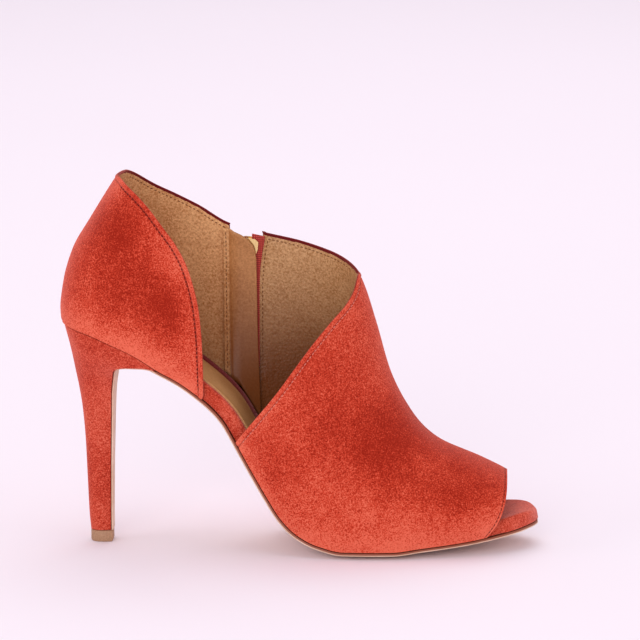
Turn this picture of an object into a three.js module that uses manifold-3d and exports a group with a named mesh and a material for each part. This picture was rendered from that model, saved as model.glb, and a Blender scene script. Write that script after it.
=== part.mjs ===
// A peep toe ankle boot on a stiletto heel, for the right foot, in millimetres.
// +X runs from the heel to the toe, +Y to the inner (medial) side with the zip, +Z up from the floor.
// The outer (lateral) side is cut away between the counter and the vamp, down to the footbed.
import * as THREE from 'three';
import { mergeVertices } from 'three/addons/utils/BufferGeometryUtils.js';
import Module from 'manifold-3d';

const wasm = await Module();
wasm.setup();

// Driving dimensions of the whole boot.
const LENGTH = 218; // heel's rearmost point to the toe tip
const TREAD_WIDTH = 72.5; // sole across the ball
const HEEL_LIFT = 101.2; // seat's rear edge above the ball
const BACK_RISE = 66.6; // counter's peak above the seat's rear edge
const THROAT_HEIGHT = 124.5; // lowest point of the collar, at the crest, above the floor
const GIRTH_WIDTH = 74; // widest distance across the upper

// Thicknesses and seats.
const UPPER_WALL = 1.8;
const UPPER_OVERHANG = 0.6; // upper stands proud of the sole's edge
const OUTSOLE_THICKNESS = 1.8;
const FOOTBED_THICKNESS = 6.5;
const FOOTBED_EDGE_RADIUS = 1.8;
const SOCK_THICKNESS = 1;
const SOCK_MARGIN = 2.4; // footbed left bare beside the sock, outer side
const SOCK_MARGIN_MEDIAL = 4.6;
const SOLE_CAMBER = 1.7; // ball's edges above its flat middle
const CLEARANCE = 0.3;

// Heel and its top piece.
const TOP_PIECE_HEIGHT = 5.2;
const BREAST_THICKNESS = 0.7; // sole leather where it runs down the heel's front

// Zip on the inner side.
const TAPE_THICKNESS = 0.7;
const TAPE_GAP = 2.2; // between the two tapes, under the chain
const CHAIN_WIDTH = 5;
const CHAIN_THICKNESS = 0.9;
const GUARD_THICKNESS = 0.9;
const SLIDER_WIDTH = 8.4;
const SLIDER_LENGTH = 10.5;
const SLIDER_PLATE = 1.1;
const SLIDER_POST = 1.6; // post between the tapes that joins the slider's two plates
const BAIL_WIDTH = 1.6;
const BAIL_LENGTH = 6.8;
const BAIL_THICKNESS = 1;
const PULL_LENGTH = 23;
const PULL_WIDTH = 6.4;
const PULL_THICKNESS = 1.2;

// Feather line, where upper and footbed meet the sole: along is a share of LENGTH, lift a share of
// HEEL_LIFT, lateral and medial are shares of TREAD_WIDTH to either side of the heel's midline.
const featherRow = (place, along, lift, lateral, medial) => ({ place, along, lift, lateral, medial });
const FEATHER = [
  featherRow('heel end', 0.0037, 1, 0, 0),
  featherRow('heel curve', 0.0055, 1, 0.069, 0.069),
  featherRow('heel curve', 0.0115, 0.996, 0.138, 0.138),
  featherRow('heel curve', 0.0275, 0.9885, 0.224, 0.222),
  featherRow('seat', 0.0596, 0.9723, 0.303, 0.3),
  featherRow('seat', 0.1147, 0.9269, 0.347, 0.34),
  featherRow('seat', 0.1651, 0.8755, 0.352, 0.339),
  featherRow('heel breast', 0.211, 0.8113, 0.343, 0.321),
  featherRow('waist', 0.2523, 0.761, 0.331, 0.302),
  featherRow('waist', 0.289, 0.7035, 0.323, 0.288),
  featherRow('waist', 0.3211, 0.6445, 0.32, 0.281),
  featherRow('waist', 0.3486, 0.577, 0.324, 0.281),
  featherRow('waist', 0.3716, 0.4921, 0.334, 0.287),
  featherRow('waist', 0.4037, 0.3676, 0.353, 0.306),
  featherRow('waist', 0.4358, 0.249, 0.382, 0.337),
  featherRow('waist', 0.4679, 0.1413, 0.411, 0.372),
  featherRow('joint', 0.5, 0.0731, 0.439, 0.411),
  featherRow('joint', 0.5413, 0.0257, 0.466, 0.452),
  featherRow('ball', 0.5963, 0, 0.486, 0.491),
  featherRow('ball', 0.6468, 0, 0.49, 0.51),
  featherRow('ball', 0.6972, 0, 0.479, 0.517),
  featherRow('forepart', 0.7569, 0.0148, 0.446, 0.501),
  featherRow('forepart', 0.8257, 0.0346, 0.39, 0.455),
  featherRow('toe opening', 0.8945, 0.0583, 0.313, 0.375),
  featherRow('toe', 0.9312, 0.0721, 0.255, 0.314),
  featherRow('toe', 0.9541, 0.081, 0.207, 0.268),
  featherRow('toe', 0.9771, 0.0909, 0.138, 0.204),
  featherRow('toe', 0.9908, 0.0958, 0.072, 0.143),
  featherRow('toe', 0.9977, 0.0988, 0.007, 0.09),
  featherRow('toe tip', 1, 0.0998, -0.035, 0.045),
];

// Sections of the last, fanned from the toe opening to the collar. Each runs from a foot point on the
// feather line or the heel's back to a head point on the crest. foot and head are shares of LENGTH,
// back is a share of BACK_RISE, crest a share of THROAT_HEIGHT, lateral and medial shares of
// GIRTH_WIDTH, widest the share of the section where it is widest, round how soon it widens from the
// foot point, peak the crest's roundness and bow its forward bulge as a share of its length.
const sectionRow = (place, foot, back, head, crest, lateral, medial, widest, round, peak, bow) => ({
  place, foot, back, head, crest, lateral, medial, widest, round, peak, bow,
});
const LAST = [
  sectionRow('past the toe', 0.945, 0, 0.978, 0.225, 0.26, 0.322, 0.32, 2, 2.3, 0.08),
  sectionRow('toe opening', 0.8922, 0, 0.9335, 0.2715, 0.322, 0.382, 0.32, 2, 2.3, 0.095),
  sectionRow('vamp', 0.8257, 0, 0.8807, 0.317, 0.393, 0.456, 0.3, 2, 2.25, 0.06),
  sectionRow('vamp', 0.7569, 0, 0.8326, 0.3534, 0.447, 0.502, 0.26, 2, 2.15, 0.03),
  sectionRow('vamp', 0.6881, 0, 0.7913, 0.3936, 0.483, 0.523, 0.23, 2, 2.05, 0.01),
  sectionRow('ball', 0.6239, 0, 0.7546, 0.4498, 0.498, 0.521, 0.21, 2, 1.95, 0),
  sectionRow('ball', 0.5596, 0, 0.726, 0.5221, 0.496, 0.512, 0.21, 2, 1.85, 0),
  sectionRow('instep', 0.5046, 0, 0.6994, 0.6145, 0.485, 0.49, 0.23, 2, 1.8, 0),
  sectionRow('instep', 0.4633, 0, 0.6778, 0.7189, 0.468, 0.466, 0.26, 2, 1.8, 0),
  sectionRow('instep', 0.4266, 0, 0.6576, 0.833, 0.449, 0.444, 0.3, 2, 1.85, 0),
  sectionRow('instep', 0.3945, 0, 0.6402, 0.9317, 0.434, 0.426, 0.34, 2, 1.9, 0),
  sectionRow('throat', 0.3624, 0, 0.6206, 1.02, 0.423, 0.414, 0.38, 2, 1.95, 0),
  sectionRow('ankle', 0.3211, 0, 0.61, 1.0763, 0.416, 0.408, 0.42, 2, 2, 0),
  sectionRow('ankle', 0.2661, 0, 0.6023, 1.1245, 0.411, 0.405, 0.44, 2, 2.05, 0),
  sectionRow('ankle', 0.211, 0, 0.5954, 1.1727, 0.406, 0.403, 0.45, 2.2, 2.1, 0),
  sectionRow('heel', 0.1514, 0, 0.5885, 1.2169, 0.402, 0.401, 0.46, 2.5, 2.15, 0),
  sectionRow('heel', 0.0917, 0, 0.5817, 1.261, 0.398, 0.4, 0.46, 3, 2.2, 0),
  sectionRow('heel', 0.0413, 0, 0.5743, 1.3012, 0.394, 0.398, 0.45, 3.5, 2.2, 0),
  sectionRow('heel end', 0.0037, 0, 0.5689, 1.3253, 0.39, 0.396, 0.44, 4, 2.2, 0),
  sectionRow('heel back', 0.0005, 0.092, 0.5646, 1.3454, 0.387, 0.394, 0.44, 4.1, 2.2, 0),
  sectionRow('heel back', 0.0078, 0.277, 0.5573, 1.3815, 0.383, 0.391, 0.45, 4.1, 2.2, 0),
  sectionRow('heel back', 0.0275, 0.493, 0.5482, 1.4217, 0.378, 0.388, 0.47, 4, 2.2, 0),
  sectionRow('heel back', 0.0645, 0.702, 0.539, 1.4618, 0.373, 0.385, 0.49, 3.9, 2.2, 0),
  sectionRow('heel back', 0.1035, 0.909, 0.5298, 1.502, 0.369, 0.382, 0.5, 3.8, 2.2, 0),
  sectionRow('past the back', 0.142, 1.105, 0.5183, 1.5502, 0.366, 0.38, 0.5, 3.8, 2.2, 0),
];
const LAST_SEAT_END = 18; // row where the sections leave the seat and climb the heel's back
const LAST_TOE_OPENING = 1;

// Edges of the upper as seen from the side: along is a share of LENGTH and up a share of the height
// between the throat (0) and the counter's peak (1), negative below the throat.
const edgeRow = (along, up) => ({ along, up });
const COUNTER_EDGE = [
  edgeRow(0.1335, 1), edgeRow(0.1711, 0.8618), edgeRow(0.1995, 0.7183), edgeRow(0.2239, 0.5603),
  edgeRow(0.2509, 0.3826), edgeRow(0.2739, 0.1694), edgeRow(0.2872, -0.0312), edgeRow(0.2968, -0.2391),
  edgeRow(0.3014, -0.4325), edgeRow(0.3041, -0.6445), edgeRow(0.305, -0.8899), edgeRow(0.305, -1.4138),
];
const VAMP_EDGE = [
  edgeRow(0.332, -1.8816), edgeRow(0.3752, -1.604), edgeRow(0.4037, -1.4284), edgeRow(0.4587, -1.0967),
  edgeRow(0.4904, -0.8857), edgeRow(0.533, -0.6113), edgeRow(0.5725, -0.3888), edgeRow(0.6005, -0.2464),
  edgeRow(0.6165, -0.1247), edgeRow(0.6239, 0),
];
const COLLAR_EDGE = [
  edgeRow(0.1335, 1), edgeRow(0.1849, 0.82), edgeRow(0.2362, 0.6986), edgeRow(0.2821, 0.5863),
  edgeRow(0.344, 0.4127), edgeRow(0.4151, 0.3233), edgeRow(0.4927, 0.2505), edgeRow(0.5376, 0.1954),
  edgeRow(0.5739, 0.1424), edgeRow(0.5986, 0.0904), edgeRow(0.6142, 0.0437), edgeRow(0.6239, 0),
];

// Heel from the top piece up to the seat: rear and breast are shares of LENGTH, rearUp and breastUp
// shares of the height from the top piece to the seat's rear edge, width and breastWidth half widths
// as shares of TREAD_WIDTH, seat the share of the seat's own outline in the section.
const heelRow = (place, rear, rearUp, breast, breastUp, width, breastWidth, seat) => ({
  place, rear, rearUp, breast, breastUp, width, breastWidth, seat,
});
const HEEL = [
  heelRow('tip', 0.0596, 0, 0.1026, 0, 0.073, 0.062, 0),
  heelRow('stem', 0.0567, 0.07, 0.1026, 0.07, 0.075, 0.064, 0),
  heelRow('stem', 0.0532, 0.253, 0.1034, 0.253, 0.083, 0.072, 0),
  heelRow('stem', 0.05, 0.43, 0.105, 0.43, 0.095, 0.083, 0),
  heelRow('stem', 0.0445, 0.58, 0.1066, 0.575, 0.112, 0.099, 0),
  heelRow('neck', 0.038, 0.68, 0.108, 0.665, 0.138, 0.124, 0.04),
  heelRow('neck', 0.031, 0.765, 0.1117, 0.735, 0.176, 0.161, 0.16),
  heelRow('cup', 0.0255, 0.835, 0.1155, 0.778, 0.222, 0.206, 0.36),
  heelRow('cup', 0.0195, 0.9, 0.1255, 0.805, 0.266, 0.25, 0.6),
  heelRow('cup', 0.0135, 0.95, 0.148, 0.814, 0.3, 0.285, 0.8),
  heelRow('cup', 0.009, 0.985, 0.178, 0.815, 0.325, 0.308, 0.95),
  heelRow('seat', 0.005, 1.012, 0.2065, 0.805, 0.345, 0.325, 1),
];
const HEEL_WIDEST = 0.55; // share of the section from its rear
const HEEL_SEAT_BOW = 0.034; // upward bow of the section under the seat, as a share of HEEL_LIFT

// Zip opening: up is a share of the height between the throat (0) and the counter's peak (1); rear and
// front, its edges, and chain, the zip's middle line, are shares of LENGTH.
const slotRow = (up, rear, front, chain) => ({ up, rear, front, chain });
const SLOT = [
  slotRow(-1.09, 0.344, 0.4025, 0.3755), slotRow(-0.624, 0.344, 0.4035, 0.378),
  slotRow(-0.312, 0.344, 0.404, 0.3805), slotRow(-0.083, 0.3444, 0.406, 0.3835),
  slotRow(0.104, 0.345, 0.411, 0.386), slotRow(0.291, 0.3455, 0.417, 0.3885),
  slotRow(0.728, 0.3455, 0.417, 0.3885),
];

// Guard behind the zip: along is a share of LENGTH, top its upper edge as SLOT counts it, lift how far
// it stands off the lining in mm.
const guardRow = (along, top, lift) => ({ along, top, lift });
const GUARD = [
  guardRow(0.3355, 0.368, 0), guardRow(0.3447, 0.373, 0), guardRow(0.351, 0.355, 0.6),
  guardRow(0.3678, 0.32, 1.1), guardRow(0.3848, 0.266, 1.1), guardRow(0.3932, 0.22, 1.1),
  guardRow(0.3997, 0.171, 1.1), guardRow(0.4035, 0.06, 1.1),
];

// Mesh density.
const STATION_STEP = 0.64; // rows of LAST between two rings of the upper
const HEEL_END_STEP = 0.2; // and round the heel's end
const SIDE_STEPS = 12;
const SLAB_STATIONS = 34;
const PATCH_ROWS = 12;

const SEAT_HEIGHT = OUTSOLE_THICKNESS + HEEL_LIFT;
const BACK_HEIGHT = SEAT_HEIGHT + BACK_RISE;
const SECTION_EXPONENT = 2;

// Smooth curve through rows that never swings past them (Fritsch and Carlson).
function curveThrough(xs, ys) {
  const n = xs.length;
  const secants = ys.slice(1).map((y, i) => (y - ys[i]) / (xs[i + 1] - xs[i]));
  const slopes = ys.map((_, i) => {
    if (i === 0) return secants[0];
    if (i === n - 1) return secants[n - 2];
    const before = secants[i - 1];
    const after = secants[i];
    if (before * after <= 0) return 0;
    const wide = xs[i] - xs[i - 1];
    const next = xs[i + 1] - xs[i];
    const a = 2 * next + wide;
    const b = next + 2 * wide;
    return (a + b) / (a / before + b / after);
  });
  return (x) => {
    let i = 0;
    while (i < n - 2 && x > xs[i + 1]) i += 1;
    const step = xs[i + 1] - xs[i];
    const t = (x - xs[i]) / step;
    if (t < 0) return ys[0] + slopes[0] * (x - xs[0]);
    if (t > 1) return ys[n - 1] + slopes[n - 1] * (x - xs[n - 1]);
    const t2 = t * t;
    const t3 = t2 * t;
    return (
      (2 * t3 - 3 * t2 + 1) * ys[i] +
      (t3 - 2 * t2 + t) * step * slopes[i] +
      (3 * t2 - 2 * t3) * ys[i + 1] +
      (t3 - t2) * step * slopes[i + 1]
    );
  };
}

const column = (rows, name, scale = 1) => rows.map((row) => row[name] * scale);
const rowNumbers = (rows) => rows.map((_, i) => i);

// Feather line as functions of x.
const featherX = column(FEATHER, 'along', LENGTH);
const featherLift = curveThrough(featherX, column(FEATHER, 'lift', HEEL_LIFT));
const featherHeight = (x) => OUTSOLE_THICKNESS + featherLift(x);
const featherLateral = curveThrough(featherX, column(FEATHER, 'lateral', TREAD_WIDTH));
const featherMedial = curveThrough(featherX, column(FEATHER, 'medial', TREAD_WIDTH));
const HEEL_END_X = featherX[0];
const TOE_TIP_X = LENGTH;

// The forepart's underside is flat in the middle and rises to its edges.
const camberShare = curveThrough(
  [0, 0.39, 0.56, 0.72, 0.88, 1].map((share) => share * LENGTH), [0, 0, 1, 1, 0.3, 0],
);
const FLAT_SHARE = 0.45;
function camber(x, y) {
  const edge = y < 0 ? featherLateral(x) : featherMedial(x);
  const out = Math.min(Math.max((Math.abs(y) / Math.max(edge, 1) - FLAT_SHARE) / (1 - FLAT_SHARE), 0), 1.1);
  return SOLE_CAMBER * Math.max(camberShare(Math.min(Math.max(x, 0), LENGTH)), 0) * out * out;
}

// One section of the last at s, counted in rows of the table.
const lastCurve = (name, scale) => curveThrough(rowNumbers(LAST), column(LAST, name, scale));
const footX = lastCurve('foot', LENGTH);
const backUp = lastCurve('back', BACK_RISE);
const headX = lastCurve('head', LENGTH);
const headZ = lastCurve('crest', THROAT_HEIGHT);
const widestLateral = lastCurve('lateral', GIRTH_WIDTH);
const widestMedial = lastCurve('medial', GIRTH_WIDTH);
const widestAt = lastCurve('widest', 1);
const roundOf = lastCurve('round', 1);
const peakOf = lastCurve('peak', 1);
const bowOf = lastCurve('bow', 1);

function sectionAt(s) {
  const onSeat = s <= LAST_SEAT_END;
  const x = footX(s);
  const foot = new THREE.Vector2(x, onSeat ? featherHeight(x) : SEAT_HEIGHT + backUp(s));
  const head = new THREE.Vector2(headX(s), headZ(s));
  const across = head.clone().sub(foot);
  const length = across.length();
  const forward = new THREE.Vector2(across.y, -across.x).divideScalar(length);
  return {
    foot, head, across, length, forward,
    bow: bowOf(s) * length,
    feather: {
      lateral: onSeat ? Math.max(featherLateral(x), 0) + UPPER_OVERHANG * Math.min(1, x - HEEL_END_X) : 0,
      medial: onSeat ? Math.max(featherMedial(x), 0) + UPPER_OVERHANG * Math.min(1, x - HEEL_END_X) : 0,
    },
    widest: { lateral: widestLateral(s), medial: widestMedial(s) },
    widestAt: widestAt(s),
    round: roundOf(s),
    peak: peakOf(s),
  };
}

// Half width of a section at share t from foot to head.
function halfWidth(section, t, side) {
  const atFeather = Math.min(section.feather[side], section.widest[side]);
  const widest = section.widest[side];
  if (t <= section.widestAt) {
    const gone = 1 - Math.max(t, 0) / section.widestAt;
    return Math.sqrt(atFeather ** 2 + (widest ** 2 - atFeather ** 2) * (1 - gone ** section.round));
  }
  const climbed = Math.min((t - section.widestAt) / (1 - section.widestAt), 1);
  return widest * (1 - climbed ** section.peak) ** (1 / SECTION_EXPONENT);
}

function sectionPoint(section, t, side) {
  const y = halfWidth(section, t, side) * (side === 'lateral' ? -1 : 1);
  const bulge = section.bow * 4 * t * (1 - t);
  return new THREE.Vector3(
    section.foot.x + section.across.x * t + section.forward.x * bulge,
    y,
    section.foot.y + section.across.y * t + section.forward.y * bulge
      + camber(section.foot.x, y) * Math.max(1 - 4 * t, 0),
  );
}

// Distance of the wall from the midline at a point of the side view.
function wallY(x, z, side) {
  const ahead = (s) => {
    const section = sectionAt(s);
    const dx = x - section.foot.x;
    const dz = z - section.foot.y;
    const t = (dx * section.across.x + dz * section.across.y) / section.length ** 2;
    const off = dx * section.forward.x + dz * section.forward.y;
    return { section, t, off: off - section.bow * 4 * t * (1 - t) };
  };
  let low = 0;
  let high = LAST.length - 1;
  for (let i = 0; i < 40; i += 1) {
    const middle = (low + high) / 2;
    if (ahead(middle).off > 0) high = middle;
    else low = middle;
  }
  const { section, t } = ahead((low + high) / 2);
  return halfWidth(section, Math.min(Math.max(t, 0), 1), side) * (side === 'lateral' ? -1 : 1);
}

// Point of the inner or outer wall, sunk by depth below the wall's outer face.
function wallPoint(x, z, depth, side = 'medial') {
  const e = 0.5;
  const y = wallY(x, z, side);
  const alongX = new THREE.Vector3(2 * e, wallY(x + e, z, side) - wallY(x - e, z, side), 0);
  const alongZ = new THREE.Vector3(0, wallY(x, z + e, side) - wallY(x, z - e, side), 2 * e);
  const out = new THREE.Vector3().crossVectors(alongZ, alongX).normalize();
  if (side === 'lateral') out.negate();
  return new THREE.Vector3(x, y, z).addScaledVector(out, -depth);
}

// Closed body through rings of equal length, capped at both ends.
function loft(rings) {
  const positions = [];
  const push = (a, b, c) => [a, b, c].forEach((p) => positions.push(p.x, p.y, p.z));
  const count = rings[0].length;
  for (let i = 0; i + 1 < rings.length; i += 1) {
    for (let j = 0; j < count; j += 1) {
      const k = (j + 1) % count;
      push(rings[i][j], rings[i + 1][j], rings[i + 1][k]);
      push(rings[i][j], rings[i + 1][k], rings[i][k]);
    }
  }
  const cap = (ring, flip) => {
    const centre = ring.reduce((sum, p) => sum.add(p), new THREE.Vector3()).divideScalar(count);
    for (let j = 0; j < count; j += 1) {
      const k = (j + 1) % count;
      if (flip) push(centre, ring[k], ring[j]);
      else push(centre, ring[j], ring[k]);
    }
  };
  cap(rings[0], false);
  cap(rings[rings.length - 1], true);
  return closed(positions);
}

// Merged geometry with no collapsed triangles and its faces pointing out.
function closed(positions) {
  const raw = new THREE.BufferGeometry();
  raw.setAttribute('position', new THREE.Float32BufferAttribute(positions, 3));
  const geometry = mergeVertices(raw, 1e-4);
  const index = geometry.index.array;
  const at = geometry.attributes.position;
  const kept = [];
  let volume = 0;
  const [a, b, c] = [new THREE.Vector3(), new THREE.Vector3(), new THREE.Vector3()];
  for (let i = 0; i < index.length; i += 3) {
    const [p, q, r] = [index[i], index[i + 1], index[i + 2]];
    if (p === q || q === r || r === p) continue;
    kept.push(p, q, r);
    volume += a.fromBufferAttribute(at, p).dot(
      b.fromBufferAttribute(at, q).cross(c.fromBufferAttribute(at, r)),
    );
  }
  if (volume < 0) kept.reverse();
  geometry.setIndex(kept);
  return geometry;
}

function toSolid(geometry) {
  const bare = geometry.clone();
  bare.deleteAttribute('normal');
  bare.deleteAttribute('uv');
  const merged = mergeVertices(bare, 1e-4);
  return new wasm.Manifold(new wasm.Mesh({
    numProp: 3,
    vertProperties: Float32Array.from(merged.attributes.position.array),
    triVerts: Uint32Array.from(merged.index.array),
  }));
}

function toGeometry(solid) {
  const mesh = solid.getMesh();
  const geometry = new THREE.BufferGeometry();
  geometry.setAttribute('position', new THREE.Float32BufferAttribute(mesh.vertProperties, 3));
  geometry.setIndex([...mesh.triVerts]);
  return geometry;
}

// Body between two depths of the medial wall, over a net of side view points.
function wallPatch(net, depthsAt) {
  const rings = net.map((row) => {
    const outer = row.map(([x, z]) => wallPoint(x, z, depthsAt(x)[0]));
    const inner = row.map(([x, z]) => wallPoint(x, z, depthsAt(x)[1]));
    return [...outer, ...inner.reverse()];
  });
  return loft(rings);
}

// Prism of a side view outline, from y0 to y1.
function sidePrism(points, y0, y1) {
  const shape = new THREE.Shape(points.map(([x, z]) => new THREE.Vector2(x, z)));
  const geometry = new THREE.ExtrudeGeometry(shape, { depth: y1 - y0, bevelEnabled: false });
  geometry.rotateX(Math.PI / 2);
  geometry.translate(0, y1, 0);
  return geometry;
}

// Stations along the sole, close together at both ends, where its outline turns.
const NOSE_STATION = TOE_TIP_X - 1.5;
const SOLE_STATIONS = [...Array.from({ length: SLAB_STATIONS + 1 }, (_, i) => {
  const share = i / SLAB_STATIONS;
  const eased = (1 - Math.cos(Math.PI * share)) / 2;
  return HEEL_END_X + (TOE_TIP_X - HEEL_END_X) * (0.55 * eased + 0.45 * share);
}), NOSE_STATION].sort((a, b) => a - b);
const stationsBetween = (from, to) =>
  [from, ...SOLE_STATIONS.filter((x) => x > from + 0.3 && x < to - 0.3), to];

// Slab that follows the feather line: inset shrinks the outline, low and high are measured square
// to the line, left is the share of the height left at x, and sectionOf turns half widths and
// heights into the section's corners.
function featherSlab({ from, to, inset, insetMedial = inset, low, high, left = () => 1, sectionOf }) {
  const e = 0.3;
  const rings = stationsBetween(from, to).map((x) => {
    const slope = (featherHeight(x + e) - featherHeight(x - e)) / (2 * e);
    const up = new THREE.Vector2(-slope, 1).normalize();
    const lateral = Math.max(featherLateral(x) - inset(x), -tipY(x) + MIN_HALF_WIDTH);
    const medial = Math.max(featherMedial(x) - insetMedial(x), tipY(x) + MIN_HALF_WIDTH);
    return sectionOf(lateral, medial, low, high * left(x)).map(([y, h]) =>
      new THREE.Vector3(x + up.x * h, y, featherHeight(x) + up.y * h + camber(x, y)));
  });
  return loft(rings);
}
const MIN_HALF_WIDTH = 1;
const tipY = (x) => (featherMedial(x) - featherLateral(x)) / 2;

// Corners of a slab's cross section, close enough to follow the camber.
const ACROSS = [1, 0.74, FLAT_SHARE];
const squareSection = (lateral, medial, low, high) => [
  ...ACROSS.map((share) => [-lateral * share, low]), ...ACROSS.map((share) => [medial * share, low]).reverse(),
  ...ACROSS.map((share) => [medial * share, high]), ...ACROSS.map((share) => [-lateral * share, high]).reverse(),
];

function roundedSection(lateral, medial, low, high) {
  const middle = (medial - lateral) / 2;
  const half = (medial + lateral) / 2;
  const r = Math.min(FOOTBED_EDGE_RADIUS, half * 0.6, (high - low) * 0.45);
  const corner = (side, share) => [
    middle + side * (half - r + r * Math.cos(share * Math.PI / 2)),
    high - r + r * Math.sin(share * Math.PI / 2),
  ];
  const under = (side, share) => [middle + side * (half - r * 0.3) * share, low];
  return [
    under(-1, 1), under(-1, 0.72), under(-1, FLAT_SHARE), under(1, FLAT_SHARE), under(1, 0.72), under(1, 1),
    [middle + half, low + r * 0.3],
    corner(1, 0), corner(1, 0.5), corner(1, 1), [middle + half * 0.6, high], [middle + half * 0.3, high],
    [middle - half * 0.3, high], [middle - half * 0.6, high],
    corner(-1, 1), corner(-1, 0.5), corner(-1, 0), [middle - half, low + r * 0.3],
  ];
}

// Side view outlines of the upper's edges.
const edgeHeight = (up) => THROAT_HEIGHT + up * (BACK_HEIGHT - THROAT_HEIGHT);
function edgeCurve(rows, steps) {
  const xOf = curveThrough(rowNumbers(rows), column(rows, 'along', LENGTH));
  const upOf = curveThrough(rowNumbers(rows), column(rows, 'up'));
  const last = rows.length - 1;
  return Array.from({ length: steps + 1 }, (_, i) => {
    const s = (last * i) / steps;
    return [xOf(s), edgeHeight(upOf(s))];
  });
}

// Zip opening in the medial wall.
const SLOT_BOTTOM = edgeHeight(SLOT[0].up);
const slotHeights = column(SLOT, 'up').map(edgeHeight);
const slotRear = curveThrough(slotHeights, column(SLOT, 'rear', LENGTH));
const slotFront = curveThrough(slotHeights, column(SLOT, 'front', LENGTH));
const chainX = curveThrough(slotHeights, column(SLOT, 'chain', LENGTH));
const collarCurve = edgeCurve(COLLAR_EDGE, 60);
function collarHeightAt(x) {
  const next = collarCurve.findIndex(([px]) => px >= x);
  const [[x0, z0], [x1, z1]] = [collarCurve[next - 1], collarCurve[next]];
  return z0 + ((z1 - z0) * (x - x0)) / (x1 - x0);
}

function buildUpper() {
  const stations = [];
  for (let s = 0; s < LAST.length - 1;) {
    stations.push(s);
    s += s > LAST_SEAT_END - 1.2 && s < LAST_SEAT_END ? HEEL_END_STEP : STATION_STEP;
  }
  stations.push(LAST.length - 1);
  const ringOf = (s) => {
    const section = sectionAt(s);
    const crowd = 1 + 0.35 * THREE.MathUtils.smoothstep(s, LAST_SEAT_END - 4, LAST_SEAT_END);
    const shares = Array.from({ length: SIDE_STEPS + 1 }, (_, i) =>
      ((1 - Math.cos((Math.PI * i) / SIDE_STEPS)) / 2) ** crowd);
    return [
      ...shares.map((t) => sectionPoint(section, t, 'lateral')),
      ...shares.slice(0, -1).reverse().map((t) => sectionPoint(section, t, 'medial')),
    ];
  };
  const outer = toSolid(loft([LAST_TOE_OPENING, ...stations.filter((s) => s > LAST_TOE_OPENING + 0.2)]
    .map(ringOf)));
  const inner = toSolid(loft(insetRings(stations.map(ringOf), UPPER_WALL)));
  const underside = toSolid(featherSlab({
    from: HEEL_END_X + UPPER_WALL,
    to: TOE_TIP_X,
    inset: () => UPPER_WALL - UPPER_OVERHANG,
    low: -6,
    high: 4,
    sectionOf: squareSection,
  }));
  const above = BACK_HEIGHT + 60;
  const beyond = LENGTH * 0.72;
  const below = edgeHeight(VAMP_EDGE[0].up) - 10;
  const lateralCut = toSolid(sidePrism([
    ...edgeCurve(COUNTER_EDGE, 30),
    [COUNTER_EDGE[COUNTER_EDGE.length - 1].along * LENGTH, below],
    [VAMP_EDGE[0].along * LENGTH, below],
    ...edgeCurve(VAMP_EDGE, 26),
    [beyond, THROAT_HEIGHT + 3], [beyond, above], [-20, above], [-20, BACK_HEIGHT - 1],
  ], -60, 0));
  const medialCut = toSolid(sidePrism([
    ...edgeCurve(COLLAR_EDGE, 34),
    [beyond, THROAT_HEIGHT - 3], [beyond, above], [-20, above], [-20, BACK_HEIGHT - 1],
  ], 0, 60));
  const slotUps = Array.from({ length: 9 }, (_, i) =>
    SLOT_BOTTOM + ((slotHeights[slotHeights.length - 1] - SLOT_BOTTOM) * i) / 8);
  const slot = toSolid(sidePrism([
    ...slotUps.map((z) => [slotFront(z), z]),
    ...slotUps.reverse().map((z) => [slotRear(z), z]),
  ], 8, 60));
  return toGeometry(
    outer.subtract(inner).subtract(underside).subtract(lateralCut).subtract(medialCut).subtract(slot),
  );
}

// Rings moved inwards, square to the surface.
function insetRings(rings, distance) {
  const normal = new THREE.Vector3();
  const count = rings[0].length;
  const inset = rings.map((ring, i) => {
    const before = rings[Math.max(i - 1, 0)];
    const after = rings[Math.min(i + 1, rings.length - 1)];
    const centre = ring.reduce((sum, p) => sum.add(p), new THREE.Vector3()).divideScalar(count);
    return ring.map((point, j) => {
      const around = ring[(j + 1) % count].clone().sub(ring[(j + count - 1) % count]);
      const along = after[j].clone().sub(before[j]);
      normal.crossVectors(around, along).normalize();
      if (normal.dot(point.clone().sub(centre)) < 0) normal.negate();
      return point.clone().addScaledVector(normal, -distance);
    });
  });
  // A ring that starts and ends at one point does so inset too; any other one's floor is lifted.
  inset.forEach((ring, i) => {
    const [first, last] = [ring[0], ring[count - 1]];
    if (rings[i][0].distanceTo(rings[i][count - 1]) > 1e-3) {
      first.copy(ring[1]);
      last.copy(ring[count - 2]);
    } else {
      first.add(last).multiplyScalar(0.5).setY(0);
      last.copy(first);
    }
  });
  return inset;
}

// Footbed's inset from the feather line: inside the upper's wall, and out to the sole at the open toe.
const TOE_OPEN_FROM = 0.915 * LENGTH;
const TOE_OPEN_FULL = 0.94 * LENGTH;
function footbedInset(x) {
  const atHeel = 0.6 * (1 - THREE.MathUtils.smoothstep(x, HEEL_END_X + 10, HEEL_END_X + 30));
  const within = UPPER_WALL - UPPER_OVERHANG + CLEARANCE + atHeel;
  const open = THREE.MathUtils.smoothstep(x, TOE_OPEN_FROM, TOE_OPEN_FULL);
  return within * (1 - open) + 0.2 * open;
}

// Footbed's rounded nose.
const NOSE_LENGTH = 9;
const NOSE_LEFT = 0.4; // share of the thickness left at the very tip
function noseLeft(x) {
  const back = Math.min(Math.max((TOE_TIP_X - x) / NOSE_LENGTH, 0), 1);
  return NOSE_LEFT + (1 - NOSE_LEFT) * Math.sqrt(1 - (1 - back) ** 2);
}

const buildFootbed = () => featherSlab({
  from: HEEL_END_X + UPPER_WALL + CLEARANCE + 0.5,
  to: TOE_TIP_X - 0.2,
  inset: footbedInset,
  low: 0,
  high: FOOTBED_THICKNESS,
  left: noseLeft,
  sectionOf: roundedSection,
});

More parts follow.
